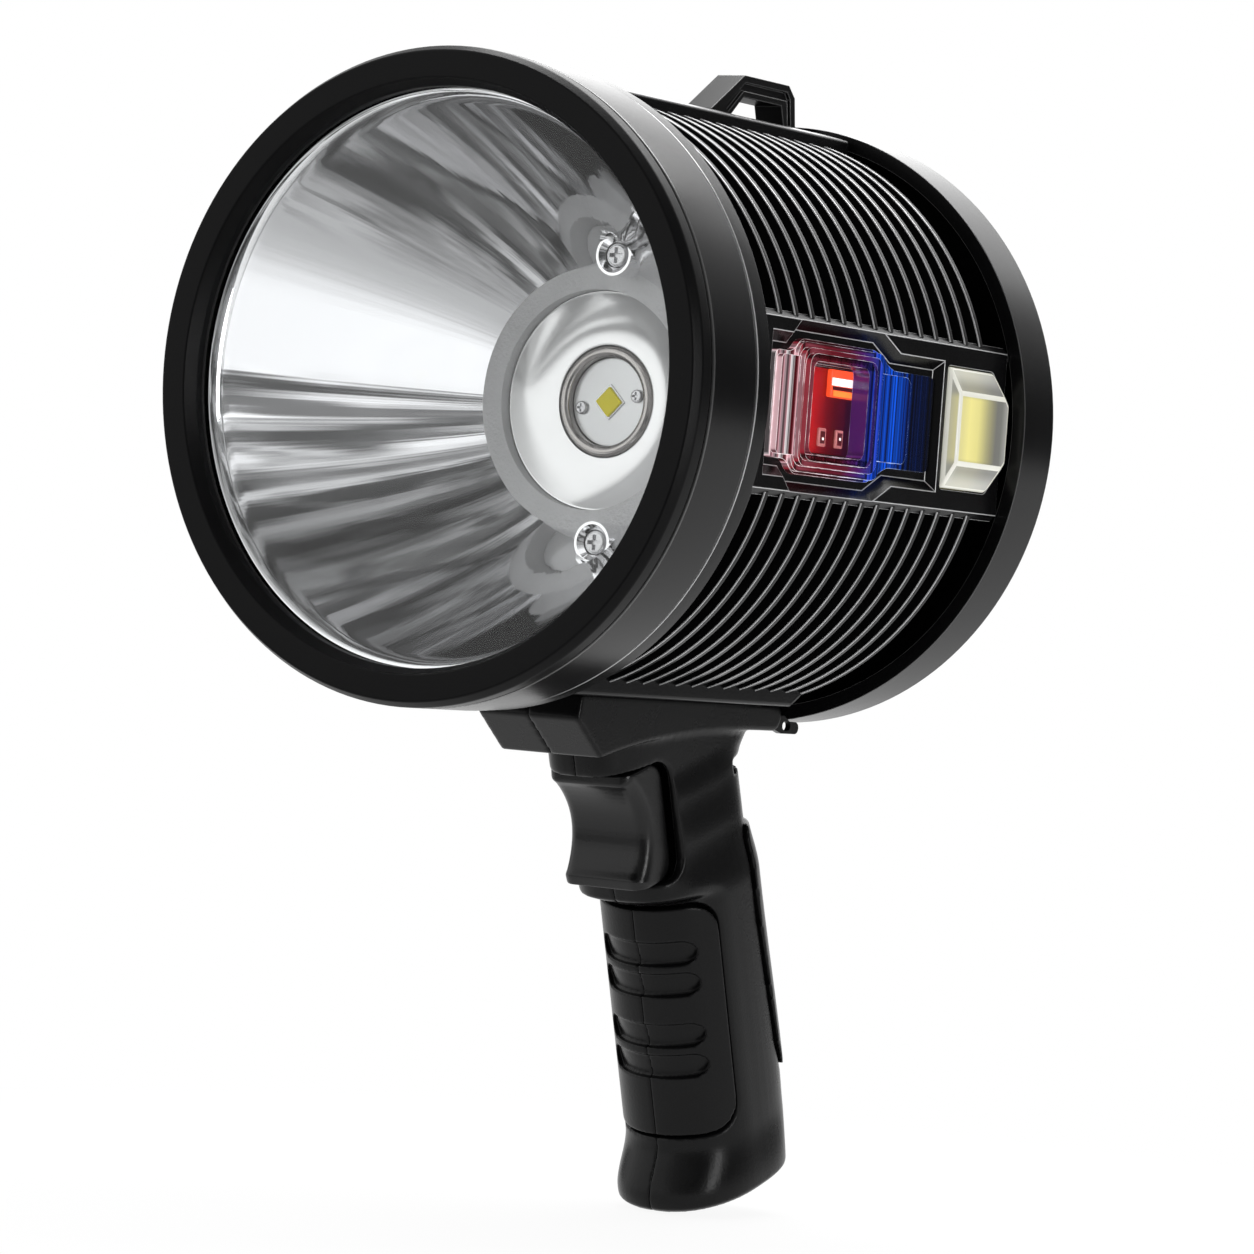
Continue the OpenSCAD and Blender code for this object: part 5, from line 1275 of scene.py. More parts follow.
def build_beacon(scene):
    """Stepped clear lens, board with a painted glow, red and blue lights and the small resistors."""
    panel = scene.searchlight_panel
    floor, start, inset = panel.face - panel.recess_depth, panel.recess_start, panel.margin
    top = floor + panel.dome_rise
    tall = panel.middle_half - inset
    lens = panel_prism("beacon_foot", recess_outline(panel, inset), floor, floor + 1.5 * MM, 1.6 * MM)
    # Name, first and last depth in mm behind the recess's start, half height, then rise and corner in mm
    layers = [
        ("beacon_dome_foot", 10.4, 46.8, tall - 0.6 * MM, 2.4, 3.2),
        ("beacon_front_step", 3.6, 14.0, panel.front_half - inset - 0.9 * MM, 2.8, 1.2),
        ("beacon_rear_step", 40.0, 56.8, panel.rear_half - inset - 1.1 * MM, 2.9, 2.2),
        ("beacon_dome_step", 11.0, 43.4, tall - 1.8 * MM, 3.7, 3.0),
        ("beacon_dome", 11.6, 39.2, tall - 3.0 * MM, panel.dome_rise / MM, 2.6),
    ]
    for name, first, last, half, rise, corner in layers:
        outline = strip(start + first * MM, start + last * MM, half)
        unite(lens, panel_prism(name, outline, floor + 0.2 * MM, floor + rise * MM, corner * MM))
    hollow = strip(start + 13.9 * MM, start + 36.5 * MM, tall - 4.5 * MM)
    ceiling = top - 0.9 * MM
    carve(lens, panel_prism("beacon_hollow", hollow, floor - 1 * MM, ceiling, 2 * MM))
    lens.name = "beacon_clear_lens"
    give_finishes(lens, "beacon", "beacon_painted_glints", "beacon_painted_walls")
    # The dome's top face stays clear glass; every other face gets the walls with painted glow, reflections and
    # glints, and the bevels get painted glints.
    for face in lens.data.polygons:
        clear = abs(face.normal.x) > 0.9 and face.center.x > ceiling - 0.1 * MM
        face.material_index = 0 if clear else 2
    soften(lens, 0.38 * MM, 2, slot=1, angle=28)
    fit_smooth(lens, "beacon", "beacon_clear", "beacon_lens")
    # The board carries the lights' glow as painted emission.
    board = block("beacon_lit_board", *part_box("beacon_board"))
    soften(board, 0.2 * MM)
    fit_smooth(board, "beacon_board", "dark_board", "beacon_board")
    for tint in ("red", "blue"):
        node = tint + "_light"
        lamp = block(node + "_body", *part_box(node))
        soften(lamp, 0.35 * MM, 3)
        fit_smooth(lamp, tint, tint + "_glow", node)
    lowest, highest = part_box("red_light")
    for name, finish, left, right, bottom, crown in (
        ("red_light_bar", "white", 0.02, 0.9, 0.42, 0.7), ("red_light_edge", "white", 0.92, 1.0, 0.1, 0.66),
        ("red_light_gap", "dark", 0.05, 0.88, 0.26, 0.4), ("red_light_base", "orange", 0.08, 0.88, 0.04, 0.24),
    ):
        detail = face_block(name, lowest, highest, left, right, bottom, crown, 0.2 * MM)
        fit_piece(detail, finish, "red_glow")
    build_resistors()


def face_block(name, lowest, highest, left, right, bottom, crown, stand):
    """A thin block on the face of a box, between shares of its length and height."""
    long, tall = highest.y - lowest.y, highest.z - lowest.z
    piece = block(
        name, (highest.x - 0.2 * MM, lowest.y + long * left, lowest.z + tall * bottom),
        (highest.x + stand, lowest.y + long * right, lowest.z + tall * crown)
    )
    soften(piece, 0.12 * MM)
    smooth_faces(piece)
    return piece


def build_resistors():
    """Three small resistors with rims that glow with painted red light, dark tops with a faint painted red glow
    and a painted white glint on each.
    """
    lowest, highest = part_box("beacon_resistors")
    width = 3 * MM
    pitch = (highest.y - lowest.y - width) / 2
    rims, tops, resistor_glints = [], [], []
    for i in range(3):
        first = lowest.y + i * pitch
        corner, opposite = Vector((lowest.x, first, lowest.z)), Vector((highest.x, first + width, highest.z))
        rim = block("resistor", corner, opposite)
        soften(rim, 0.5 * MM, 3)
        rims.append(rim)
        tops.append(face_block("resistor_top", corner, opposite, 0.18, 0.82, 0.16, 0.84, 0.05 * MM))
        rise = 0.1 * i
        resistor_glints.append(face_block("resistor_dot", corner, opposite, 0.4, 0.66, 0.34 + rise, 0.5 + rise, 0.12 * MM))
    group = joined("beacon_chip_resistors", rims)
    fit_smooth(group, "resistor", "dark_board", "beacon_resistors")
    # The tops keep a faint painted red glow, and each resistor gets a painted white glint.
    fit_piece(joined("beacon_resistor_tops", tops), "dark", "dark_board")
    fit_piece(joined("beacon_resistor_dots", resistor_glints), "white", "dark_board")


def build_lamp(scene):
    """Frosted side lamp with its sloping top and bottom, which also stands in for the hidden lit board behind
    it.
    """
    panel = scene.searchlight_panel
    foot, inset = panel.face + 0.4 * MM, 1.6 * MM
    outline = lamp_outline(panel, 0, 0)
    base = panel_prism("lamp_base", outline, panel.face - 5 * MM, foot)
    crown = lamp_outline(panel, inset, panel.lamp_slope - inset)
    unite(base, panel_loft("lamp_crown", [(foot, outline), (panel.face + panel.lamp_rise, crown)]))
    base.name = "lamp_frosted_lens"
    # The lamp's bevelled edges get a painted highlight that glows.
    give_finishes(base, "frosted", "lamp_edge")
    soften(base, 0.6 * MM, 4, slot=1, angle=12)
    fit_smooth(base, "frosted", "frosted_lens", "side_lamp_lens", "side_lamp_board")


def build_loop():
    """Carry loop with its side channels."""
    start, end = depth_of("carry_loop")
    bottom, top = low("carry_loop").z, high("carry_loop").z
    half = high("carry_loop").x
    bar, slope, foot, leg = 5.1 * MM, 12.9 * MM, 7.8 * MM, 5.1 * MM
    under = top - bar
    front = start + slope
    outline = [
        (start, bottom), (start, bottom + 1.3 * MM), (front, top), (end - 4 * MM, top),
        (end - 1.2 * MM, top - 2.6 * MM), (end, bottom),
    ]
    loop = side_prism("loop_moulding", outline, half)
    opening = [
        (start + foot, bottom - MM), (start + foot, bottom + 0.4 * MM), (front, under),
        (end - leg - 1.7 * MM, under), (end - leg, bottom + 0.4 * MM), (end - leg, bottom - MM),
    ]
    carve(loop, side_prism("loop_opening", opening, 4 * half))
    groove = [
        (start + 5.6 * MM, bottom + 2.4 * MM), (front + 0.6 * MM, top - 1.7 * MM),
        (end - 4.6 * MM, top - 1.7 * MM), (end - 3.3 * MM, top - 3.2 * MM), (end - 2.2 * MM, bottom + 1.2 * MM),
        (end - 3.7 * MM, bottom + 1.2 * MM), (end - 4.8 * MM, top - 3.6 * MM), (front, top - 3.6 * MM),
        (start + 6.9 * MM, bottom + 1.4 * MM),
    ]
    for side in (-1, 1):
        inner, outer = side * (half - 0.9 * MM), side * (half + 5 * MM)
        carve(loop, panel_prism("loop_groove", groove, inner, outer))
    # Painted highlight on the carry loop's bevelled edges.
    give_finishes(loop, "loop", "shell_edge")
    soften(loop, 0.45 * MM, 3, slot=1, angle=25)
    fit_smooth(loop, "loop", "black_shell", "carry_loop")


# The grip

PAD_ROOM = 0.2 * MM
GRIP_SCREWS = ((8 * MM, -34 * MM), (8 * MM, -92 * MM), (12 * MM, -21 * MM))


def raked(grip):
    """Place and turn of the grip's own frame."""
    neck = Matrix.Translation((0, HEAD_FRONT + grip.neck_depth, -grip.neck_drop))
    return neck @ Matrix.Rotation(grip.rake, 4, "X")


def eased(stops, level):
    """A value that runs smoothly through pairs of level and value, in falling order of level."""
    if level >= stops[0][0]:
        return stops[0][1]
    for (upper, first), (lower, second) in zip(stops, stops[1:]):
        if level >= lower:
            share = (upper - level) / (upper - lower)
            return first + (second - first) * share * share * (3 - 2 * share)
    return stops[-1][1]


def bent(value, power):
    """A sine or cosine drawn out towards the corners of a rounded outline."""
    return math.copysign(abs(value) ** (2 / power), value)


def grip_ring(grip, level, front, rear, half, front_power, rear_power, count=64):
    """One closed outline across the grip, with its own rounding in front and behind."""
    ring = []
    for i in range(count):
        turn = WHOLE_TURN * i / count
        behind = i <= count / 2
        power = rear_power if behind else front_power
        reach = rear - grip.axis if behind else front + grip.axis
        across = half * bent(math.cos(turn), power)
        ring.append(Vector((across, grip.axis + reach * bent(math.sin(turn), power), level)))
    return ring


def grip_rings(grip, first, last, count, grow=0.0):
    """Outlines of the grip from one level down to another, grown by a skin."""
    foot_top = grip.foot - grip.long
    lip_low = -grip.pocket_low - grip.lip_height
    round_front = grip.half - grip.axis
    fronts = [
        (grip.pocket_top + 1 * MM, grip.visor), (grip.pocket_top, grip.visor - 0.4 * MM),
        (-grip.pocket_low, grip.lip + 0.6 * MM), (lip_low + 1.2 * MM, grip.lip),
        (lip_low - 1.8 * MM, round_front), (foot_top, round_front + 0.3 * MM),
        (3 * MM - grip.long, round_front + grip.flare),
        (1.2 * MM - grip.long, round_front + grip.flare - 0.2 * MM),
        (-grip.long, round_front + grip.flare - 1.6 * MM),
    ]
    rears = [
        (1.5 * MM, 30.6 * MM), (-3.3 * MM, 24.5 * MM), (-6 * MM, 22.9 * MM), (-16.5 * MM, 22 * MM),
        (-30 * MM, 23.6 * MM), (foot_top + 7 * MM, 25.8 * MM), (foot_top, 25.5 * MM),
        (1.2 * MM - grip.long, 23.2 * MM), (-grip.long, 22 * MM),
    ]
    halves = [
        (1.5 * MM, 13.2 * MM), (-6 * MM, 13.8 * MM), (-16.5 * MM, 14.6 * MM), (-31 * MM, grip.half),
        (foot_top, grip.half), (3 * MM - grip.long, grip.half + 0.8 * MM),
        (1.2 * MM - grip.long, grip.half + 0.7 * MM), (-grip.long, grip.half - 0.6 * MM),
    ]
    powers = [(lip_low + 2 * MM, 3.2), (lip_low - 2 * MM, 2.0), (foot_top, 2.0), (-grip.long, 2.3)]
    rings = []
    for i in range(count):
        level = first + (last - first) * i / (count - 1)
        rings.append(grip_ring(
            grip, level, eased(fronts, level) + grow, eased(rears, level) + grow, eased(halves, level) + grow,
            eased(powers, level), 2.8
        ))
    return rings


def pad_cutter(outline, core):
    """What a rubber pad takes out of the grip: its outline across the grip, outside a core."""
    cutter = cross_prism("pad_cutter", outline, 30 * MM)
    carve(cutter, core)
    return cutter


def front_pad_outline(gap):
    """Side outline of the front pad, in the grip's frame, grown by a gap."""
    rear, top, bottom, far = -2 * MM + gap, -30.6 * MM + gap, -86 * MM - gap, -40 * MM
    return [(far, top)] + rounded_rear(rear, top, bottom, 7 * MM) + [(far, bottom)]


def rear_pad_outline(gap):
    """Side outline of the rear pad, in the grip's frame, grown by a gap."""
    top, bottom = -18.8 * MM + gap, -80 * MM - gap
    far = 50 * MM
    return [
        (far, top), (15.6 * MM, top), (13.6 * MM - gap, top - 3 * MM), (14 * MM - gap, -41 * MM),
        (17.4 * MM - gap, bottom + 7 * MM), (21 * MM - gap, bottom), (far, bottom),
    ]


def grip_core(grip, radius):
    """A rod along the grip with the radius of the round front."""
    return rod("grip_core", radius, (0, grip.axis, -grip.long), (0, grip.axis, 0.0), 128)


def rear_core(grip, grow):
    """The body of the grip along the rear pad, grown by a skin or drawn in."""
    return loft("rear_core", grip_rings(grip, -10 * MM, -95 * MM, 40, grow))


def saddle(scene):
    """The block that joins the grip to the keel."""
    head, grip = scene.searchlight_head, scene.searchlight_grip
    keel = -head.keel_drop
    nose = grip.saddle_start - 0.9 * MM
    slant = nose + grip.saddle_slant
    deep, rear = keel - grip.saddle_deep, keel - grip.saddle_rear
    arch, clip = 14, grip.saddle_round
    under = []
    for i in range(arch):
        share = i / arch
        depth = slant + (grip.saddle_end - clip - slant) * share
        under.append((depth, rear + (deep - rear) * (1 - share) ** 2.4))
    under += rounded_corner((grip.saddle_end - clip, rear + clip), clip, -90, 0)
    outline = [(grip.saddle_start, keel), (nose, keel - grip.saddle_nose)] + under + [
        (grip.saddle_end, keel - 1.2 * MM), (grip.saddle_end - 1.2 * MM, keel),
    ]
    piece = side_prism("saddle", outline, grip.saddle_half)
    soften(piece, 0.25 * MM, 1)
    return piece


def strap_lug(scene):
    """The strap eye: a rounded lug behind the saddle with a hole from side to side."""
    head, grip = scene.searchlight_head, scene.searchlight_grip
    end, hole = grip.saddle_end, grip.eye_hole
    bottom = -head.keel_drop - grip.saddle_rear - 0.5 * MM
    top, tail = bottom + 4.2 * MM, 1.4 * MM
    outline = [(end - 3 * MM, top), (end - 3 * MM, bottom + hole), (end + 0.6 * MM, bottom)]
    outline += rounded_corner((end + 8 * MM - tail, bottom + tail), tail, -90, 90)
    outline += [(end + 4.1 * MM, bottom + 2 * tail), (end + 1.7 * MM, top)]
    outer = grip.saddle_half - grip.eye_inset
    lug = panel_prism("strap_lug", outline, outer - grip.eye_thickness, outer)
    level = bottom + 0.75 * MM + hole
    slot = rounded_slot(end + 2.05 * MM, end + 3.35 * MM, level, hole)
    carve(lug, panel_prism("strap_hole", slot, outer - 4 * MM, outer + 4 * MM))
    soften(lug, 0.25 * MM, 3)
    return lug


def front_pocket(name, rear, top, bottom, corner, half):
    """A pocket that is open to the front and rounded at its rear, to cut into the grip."""
    far = -60 * MM
    outline = [(far, top)] + rounded_rear(rear, top, bottom, corner) + [(far, bottom)]
    return cross_prism(name, outline, half)


def grip_cutters(scene):
    """Everything that is cut out of the grip, in the grip's frame."""
    grip, trigger = scene.searchlight_grip, scene.searchlight_trigger
    room, far = 0.45 * MM, 60 * MM
    inner, half = trigger.travel - trigger.rear + room, trigger.half + room
    core = grip_core(grip, grip.half - grip.front_pad - PAD_ROOM)
    inside = rear_core(grip, -grip.pad_thickness - PAD_ROOM)
    neck = loft("neck_core", grip_rings(grip, 5 * MM, -20 * MM, 30, -1.6 * MM))
    groove = [(14 * MM, -3.4 * MM), (far, -3.4 * MM), (far, -6.8 * MM), (14 * MM, -6.8 * MM)]
    notch = rounded_slot(-3 * MM, 3 * MM, -7.2 * MM, 2.5 * MM, 10)
    points = [Vector((across, 20.4 * MM, level)) for across, level in notch]
    return [
        front_pocket("trigger_pocket", -grip.pocket, grip.pocket_top, -grip.pocket_low, grip.pocket_round, far),
        front_pocket("trigger_room", inner, trigger.top + room, -trigger.bottom - room, trigger.corner, half),
        block("stem_room", (-4.5 * MM, -far, -12.5 * MM), (4.5 * MM, 3.5 * MM, -3.5 * MM)),
        rod("plunger_room", 1.8 * MM, (0, -6 * MM, -8 * MM), (0, 12 * MM, -8 * MM), 32),
        pad_cutter(front_pad_outline(PAD_ROOM), core),
        pad_cutter(rear_pad_outline(PAD_ROOM), inside),
        pad_cutter(groove, neck),
        prism("charge_notch", points, Vector((0, 30 * MM, 0))),
    ]


def build_grip(scene):
    """The two moulded halves of the grip, with the saddle, and the screws in the left half."""
    grip, head = scene.searchlight_grip, scene.searchlight_head
    place = raked(grip)
    body = loft("grip_blank", grip_rings(grip, 22 * MM, -grip.long, 110))
    carve(body, *grip_cutters(scene))
    settle(body, place)
    carve(body, block("grip_roof", (-0.1, -0.3, -head.keel_drop - 1 * MM), (0.1, 0.3, 0.1)))
    unite(body, saddle(scene))
    for hand, side in (("right", 1), ("left", -1)):
        name = "grip_half_" + hand
        shell = half_of(body, name, side)
        if side < 0:
            for across, level in GRIP_SCREWS:
                well = rod("screw_well", 3 * MM, (-30 * MM, across, level), (-9 * MM, across, level), 40)
                carve(shell, settle(well, place))
        moulded(shell, grip.voxel, 6)
        shell.name = name
        fit_piece(shell, "grip", "grip_plastic", "grip_shell_" + hand)
    bpy.data.objects.remove(body)
    fit_smooth(strap_lug(scene), "grip", "grip_plastic")
    outward = Matrix.Rotation(-math.pi / 2, 4, "Y")
    places = [place @ Matrix.Translation((-11 * MM, across, level)) @ outward for across, level in GRIP_SCREWS]
    screw_group("grip_screw_heads", "grip_screws", places)


def build_trigger(scene):
    """The sliding trigger with its finger hollow between two lips."""
    trigger, grip = scene.searchlight_trigger, scene.searchlight_grip
    top, bottom, rear = trigger.top, -trigger.bottom, -trigger.rear
    first, last = top - trigger.lip, bottom + trigger.lip
    front_low = trigger.front - 1.2 * MM
    hollow = []
    steps = 16
    for i in range(steps + 1):
        share = i / steps
        level = first + (last - first) * share
        edge = trigger.front + (front_low - trigger.front) * share
        hollow.append((-edge + trigger.hollow * math.sin(math.pi * share) ** 0.8, level))
    outline = [(-trigger.front + 0.3 * MM, top)] + rounded_rear(rear, top, bottom, trigger.corner)
    outline += [(-front_low + 0.4 * MM, bottom)] + hollow[::-1]
    body = cross_prism("trigger_blank", outline, trigger.half)
    make_active(body)
    bpy.ops.object.mode_set(mode="EDIT")
    bpy.ops.mesh.select_mode(type="EDGE")
    bpy.ops.mesh.select_all(action="DESELECT")
    bpy.ops.object.mode_set(mode="OBJECT")
    for edge in body.data.edges:
        ends = [body.data.vertices[index].co for index in edge.vertices]
        along_side = abs(ends[0].x - ends[1].x) < WELD
        edge.select = along_side and all(end.y < rear - 5.5 * MM for end in ends)
    bpy.ops.object.mode_set(mode="EDIT")
    bpy.ops.mesh.bevel(offset=trigger.round, segments=6, affect="EDGES", clamp_overlap=True)
    bpy.ops.object.mode_set(mode="OBJECT")
    moulded(body, 0.3 * MM, 5)
    piece = joined("trigger_moulding", [body])
    settle(piece, raked(grip))
    fit_piece(piece, "trigger", "grip_plastic", "trigger", body=TRIGGER)


def finger_groove(grip, top):
    """What one finger groove takes out of the front pad: a long rounded slot that deepens downwards."""
    tall, half = 5.6 * MM, 12.6 * MM
    radius = tall / 2
    middle = -top - radius
    slot = rounded_slot(radius - half, half - radius, middle, radius, 12)
    points = [Vector((across, grip.axis, level)) for across, level in slot]
    tool = prism("groove", points, Vector((0, -40 * MM, 0)))
    skin, reach = grip.half + grip.pad_proud, radius + 0.1 * MM
    lower, upper = (0, grip.axis, middle - reach), (0, grip.axis, middle + reach)
    carve(tool, rod("groove_floor", skin - grip.groove_low, lower, upper, 128, skin - grip.groove_top))
    return tool


def build_pads(scene):
    """Front pad with its finger grooves, and rear pad."""
    grip = scene.searchlight_grip
    place = raked(grip)
    gap = -grip.pad_gap + PAD_ROOM
    pad = pad_cutter(front_pad_outline(gap), grip_core(grip, grip.half - grip.front_pad))
    combine(pad, grip_core(grip, grip.half + grip.pad_proud), "INTERSECT")
    for top in (39 * MM, 46.4 * MM, 58.6 * MM, 66 * MM):
        carve(pad, finger_groove(grip, top))
    halves = []
    for side in (-1, 1):
        part = half_of(pad, "front_pad_half", side)
        moulded(part, 0.32 * MM, 3)
        halves.append(part)
    bpy.data.objects.remove(pad)
    front = joined("front_pad_rubber", halves)
    settle(front, place)
    fit_piece(front, "rubber", "rubber", "front_grip_pad")
    rear = pad_cutter(rear_pad_outline(gap), rear_core(grip, -grip.pad_thickness))
    combine(rear, rear_core(grip, 0.9 * MM), "INTERSECT")
    moulded(rear, 0.4 * MM, 5)
    rear.name = "rear_pad_rubber"
    settle(rear, place)
    fit_piece(rear, "rubber", "rubber", "rear_grip_pad")


def finish_frame_nodes():
    """Finishes for the nodes of the frame that show as they are."""
    chosen = {
        "heat_sink": "cast", "charge_socket": "ring", "rear_seal": "seal", "driver_board": "green",
        "battery_tray": "switch", "battery_cells": "cell", "saddle_screws": "steel", "trigger_switch": "switch",
        "switch_plunger": "plunger",
    }
    for node, finish in chosen.items():
        give_finishes(frame["nodes"][node], finish)


# The stage

CAMERA_PLACE = Vector((0.6630, -1.0566, -0.0493))
CAMERA_RIGHT = Vector((0.8286, 0.5546, 0.0765))
CAMERA_UP = Vector((-0.0636, -0.0424, 0.9971))
CAMERA_LENS = 152.81
SENSOR = 36.0
NEAREST = 0.05
ROOM_LEVEL = 1.35


def area_lamp(name, place, target, width, tall, power):
    """One soft studio lamp that points at a target."""
    clear_selection()
    bpy.ops.object.light_add(type="AREA", location=place)
    lamp = bpy.context.object
    lamp.name = name
    lamp.data.shape = "RECTANGLE"
    lamp.data.size = width
    lamp.data.size_y = tall
    lamp.data.energy = power
    lamp.rotation_euler = (Vector(target) - Vector(place)).to_track_quat("-Z", "Y").to_euler()


def grey_ramp(nodes, links, value, stops):
    """A ramp of greys that follows a direction from -1 to 1."""
    spread, ramp = fresh(nodes, "MapRange", "ValToRGB")
    spread.inputs["From Min"].default_value = -1.0
    set_stops(ramp, [((place + 1) / 2, (grey, grey, grey)) for place, grey in stops])
    links.new(value, spread.inputs["Value"])
    links.new(spread.outputs["Result"], ramp.inputs["Fac"])
    return ramp


def room_in_front(nodes, links, split):
    """The room on the side of the camera: pale above, bright at the left, patches of light and dark below."""
    angle = math_node(nodes, links, "ARCTAN2", split.outputs["Z"], split.outputs["X"])
    share = math_node(nodes, links, "DIVIDE", angle, math.pi)
    stops = [
        (-180, 0.95), (-171, 0.95), (-166, 0.35), (-160, 0.07), (-156, 0.6), (-150, 0.95), (-138, 0.7),
        (-129, 0.2), (-118, 0.65), (-106, 0.5), (-97, 0.1), (-86, 0.4), (-72, 0.12), (-60, 0.26), (-46, 0.04),
        (-32, 0.14), (-12, 0.42), (4, 0.2), (16, 0.6), (26, 0.26), (45, 0.42), (66, 0.42), (88, 0.42),
        (104, 0.52), (118, 0.78), (132, 0.95), (180, 0.95),
    ]
    ramp = grey_ramp(nodes, links, share, [(degrees / 180, grey * ROOM_LEVEL) for degrees, grey in stops])
    patches, uneven = fresh(nodes, "TexNoise", "MapRange")
    patches.noise_dimensions = "2D"
    set_inputs(patches, {"Scale": 3.4, "Detail": 3.0, "Distortion": 0.7})
    span_of(uneven, 0.4, 0.6, 0.1, 1.6)
    sheet = nodes.new("ShaderNodeCombineXYZ")
    links.new(angle, sheet.inputs["X"])
    links.new(math_node(nodes, links, "MULTIPLY", split.outputs["Y"], 0.8), sheet.inputs["Y"])
    wire(links, (sheet, "Vector", patches, "Vector"), (patches, "Fac", uneven, "Value"))
    below, beside = fresh(nodes, "MapRange", "MapRange")
    span_of(below, -0.02, -0.16, 0.0, 0.9)
    span_of(beside, 0.1, 0.4, 0.0, 0.8)
    wire(links, (split, "Z", below, "Value"), (split, "X", beside, "Value"))
    patchy = colour_mix(nodes, "MULTIPLY")
    share = math_node(nodes, links, "MAXIMUM", below.outputs["Result"], beside.outputs["Result"])
    links.new(share, patchy.inputs["Factor"])
    wire(links, (ramp, "Color", patchy, "A"), (uneven, "Result", patchy, "B"))
    return patchy.outputs["Result"]


def studio_world():
    """A white backdrop behind the object, a pale ceiling over it and a room on the side of the camera."""
    world = bpy.data.worlds.new("studio")
    bpy.context.scene.world = world
    world.use_nodes = True
    nodes, links = world.node_tree.nodes, world.node_tree.links
    white, room = nodes["Background"], nodes.new("ShaderNodeBackground")
    white.inputs["Color"].default_value = (1, 1, 1, 1)
    place, split = fresh(nodes, "TexCoord", "SeparateXYZ")
    links.new(place.outputs["Generated"], split.inputs["Vector"])
    ceiling = grey_ramp(nodes, links, split.outputs["Z"], [
        (-1.0, 0.12), (0.0, 0.1), (0.16, 0.16), (0.4, 0.75), (0.7, 0.9), (1.0, 0.5)
    ])
    behind, right = fresh(nodes, "MapRange", "MapRange")
    span_of(behind, -0.15, 0.3, 0.0, 1.0)
    span_of(right, 0.1, 0.7, 1.0, 0.35)
    wire(links, (split, "Y", behind, "Value"), (split, "X", right, "Value"))
    facing = colour_mix(nodes)
    links.new(behind.outputs["Result"], facing.inputs["Factor"])
    links.new(room_in_front(nodes, links, split), facing.inputs["A"])
    wire(
        links, (ceiling, "Color", facing, "B"), (facing, "Result", room, "Color"),
        (right, "Result", room, "Strength")
    )
    towards, card = fresh(nodes, "VectorMath", "MapRange")
    towards.operation = "DOT_PRODUCT"
    towards.inputs[1].default_value = CAMERA_UP.cross(CAMERA_RIGHT)
    span_of(card, 0.8, 0.92, 0.0, 1.0)
    wire(links, (place, "Generated", towards, 0), (towards, "Value", card, "Value"))
    path, mix = fresh(nodes, "LightPath", "MixShader")
    glossy, clear, seen = (path.outputs[f"Is {ray} Ray"] for ray in ("Glossy", "Transmission", "Camera"))
    shown = math_node(nodes, links, "MAXIMUM", glossy, clear)
    shown = math_node(nodes, links, "MULTIPLY", shown, card.outputs["Result"])
    shown = math_node(nodes, links, "MAXIMUM", shown, seen)
    links.new(shown, mix.inputs["Fac"])
    wire(links, (room, "Background", mix, 1), (white, "Background", mix, 2))
    links.new(mix.outputs["Shader"], nodes["World Output"].inputs["Surface"])


def floor_finish():
    """Pale floor that runs into the white background and keeps a faint shadow round the grip."""
    material, nodes, links, shader = new_material("pale_floor")
    set_inputs(shader, {"Base Color": (0.9, 0.9, 0.9, 1), "Roughness": 0.9})
    place, reach = fresh(nodes, "TexCoord", "VectorMath")
    reach.operation = "LENGTH"
    fade = nodes.new("ShaderNodeMapRange")
    span_of(fade, 0.1, 0.3, 0.86, 1.0)
    wire(links, (place, "Object", reach, 0), (reach, "Value", fade, "Value"))
    path, light = fresh(nodes, "LightPath", "Emission")
    mix = nodes.new("ShaderNodeMixShader")
    glossy, clear, seen = (path.outputs[f"Is {ray} Ray"] for ray in ("Glossy", "Transmission", "Camera"))
    shown = math_node(nodes, links, "MAXIMUM", glossy, clear)
    shown = math_node(nodes, links, "MAXIMUM", shown, seen)
    shown = math_node(nodes, links, "MULTIPLY", shown, fade.outputs["Result"])
    links.new(shown, mix.inputs["Fac"])
    wire(links, (shader, "BSDF", mix, 1), (light, "Emission", mix, 2))
    links.new(mix.outputs["Shader"], nodes["Material Output"].inputs["Surface"])
    return material


def build_stage(scene):
    """Camera, lamps, world and floor."""
    scene.view_settings.view_transform = "Standard"
    studio_world()
    clear_selection()
    near, far, level = HEAD_FRONT - 0.11, 3.0, CAD_BOX[0].z - 0.2 * MM
    bpy.ops.mesh.primitive_plane_add(size=1, location=(0, (near + far) / 2, level), scale=(1, 1, 1))
    bpy.ops.transform.resize(value=(6.0, far - near, 1))
    bpy.ops.object.transform_apply(location=True, rotation=True, scale=True)
    floor = adopt("studio_floor")
    floor.data.materials.append(floor_finish())
    middle = (CAD_BOX[0] + CAD_BOX[1]) / 2
    area_lamp("top_softbox", middle + Vector((-0.1, 0.45, 0.85)), middle, 0.8, 0.6, 9.0)
    area_lamp("back_softbox", middle + Vector((-0.2, 1.0, 0.5)), middle, 1.0, 0.5, 2.8)
    area_lamp("right_softbox", middle + Vector((1.1, -0.3, 0.0)), middle, 0.2, 0.9, 6.0)
    clear_selection()
    bpy.ops.object.camera_add(location=CAMERA_PLACE)
    camera = bpy.context.object
    camera.name = "photo_camera"
    backwards = CAMERA_RIGHT.cross(CAMERA_UP)
    turn = Matrix((CAMERA_RIGHT, CAMERA_UP, backwards)).transposed()
    camera.rotation_euler = turn.to_euler()
    camera.data.lens = CAMERA_LENS
    camera.data.sensor_width = SENSOR
    camera.data.clip_start = NEAREST
    scene.camera = camera


# Operators, panel and registration

class SEARCHLIGHT_OT_rings(bpy.types.Operator):
    """Model the bezel, the seal, the collar and the rear cover"""

    bl_idname = "searchlight.rings"
    bl_label = "Head rings"

    def execute(self, context):
        build_rings(context.scene)
        return {"FINISHED"}


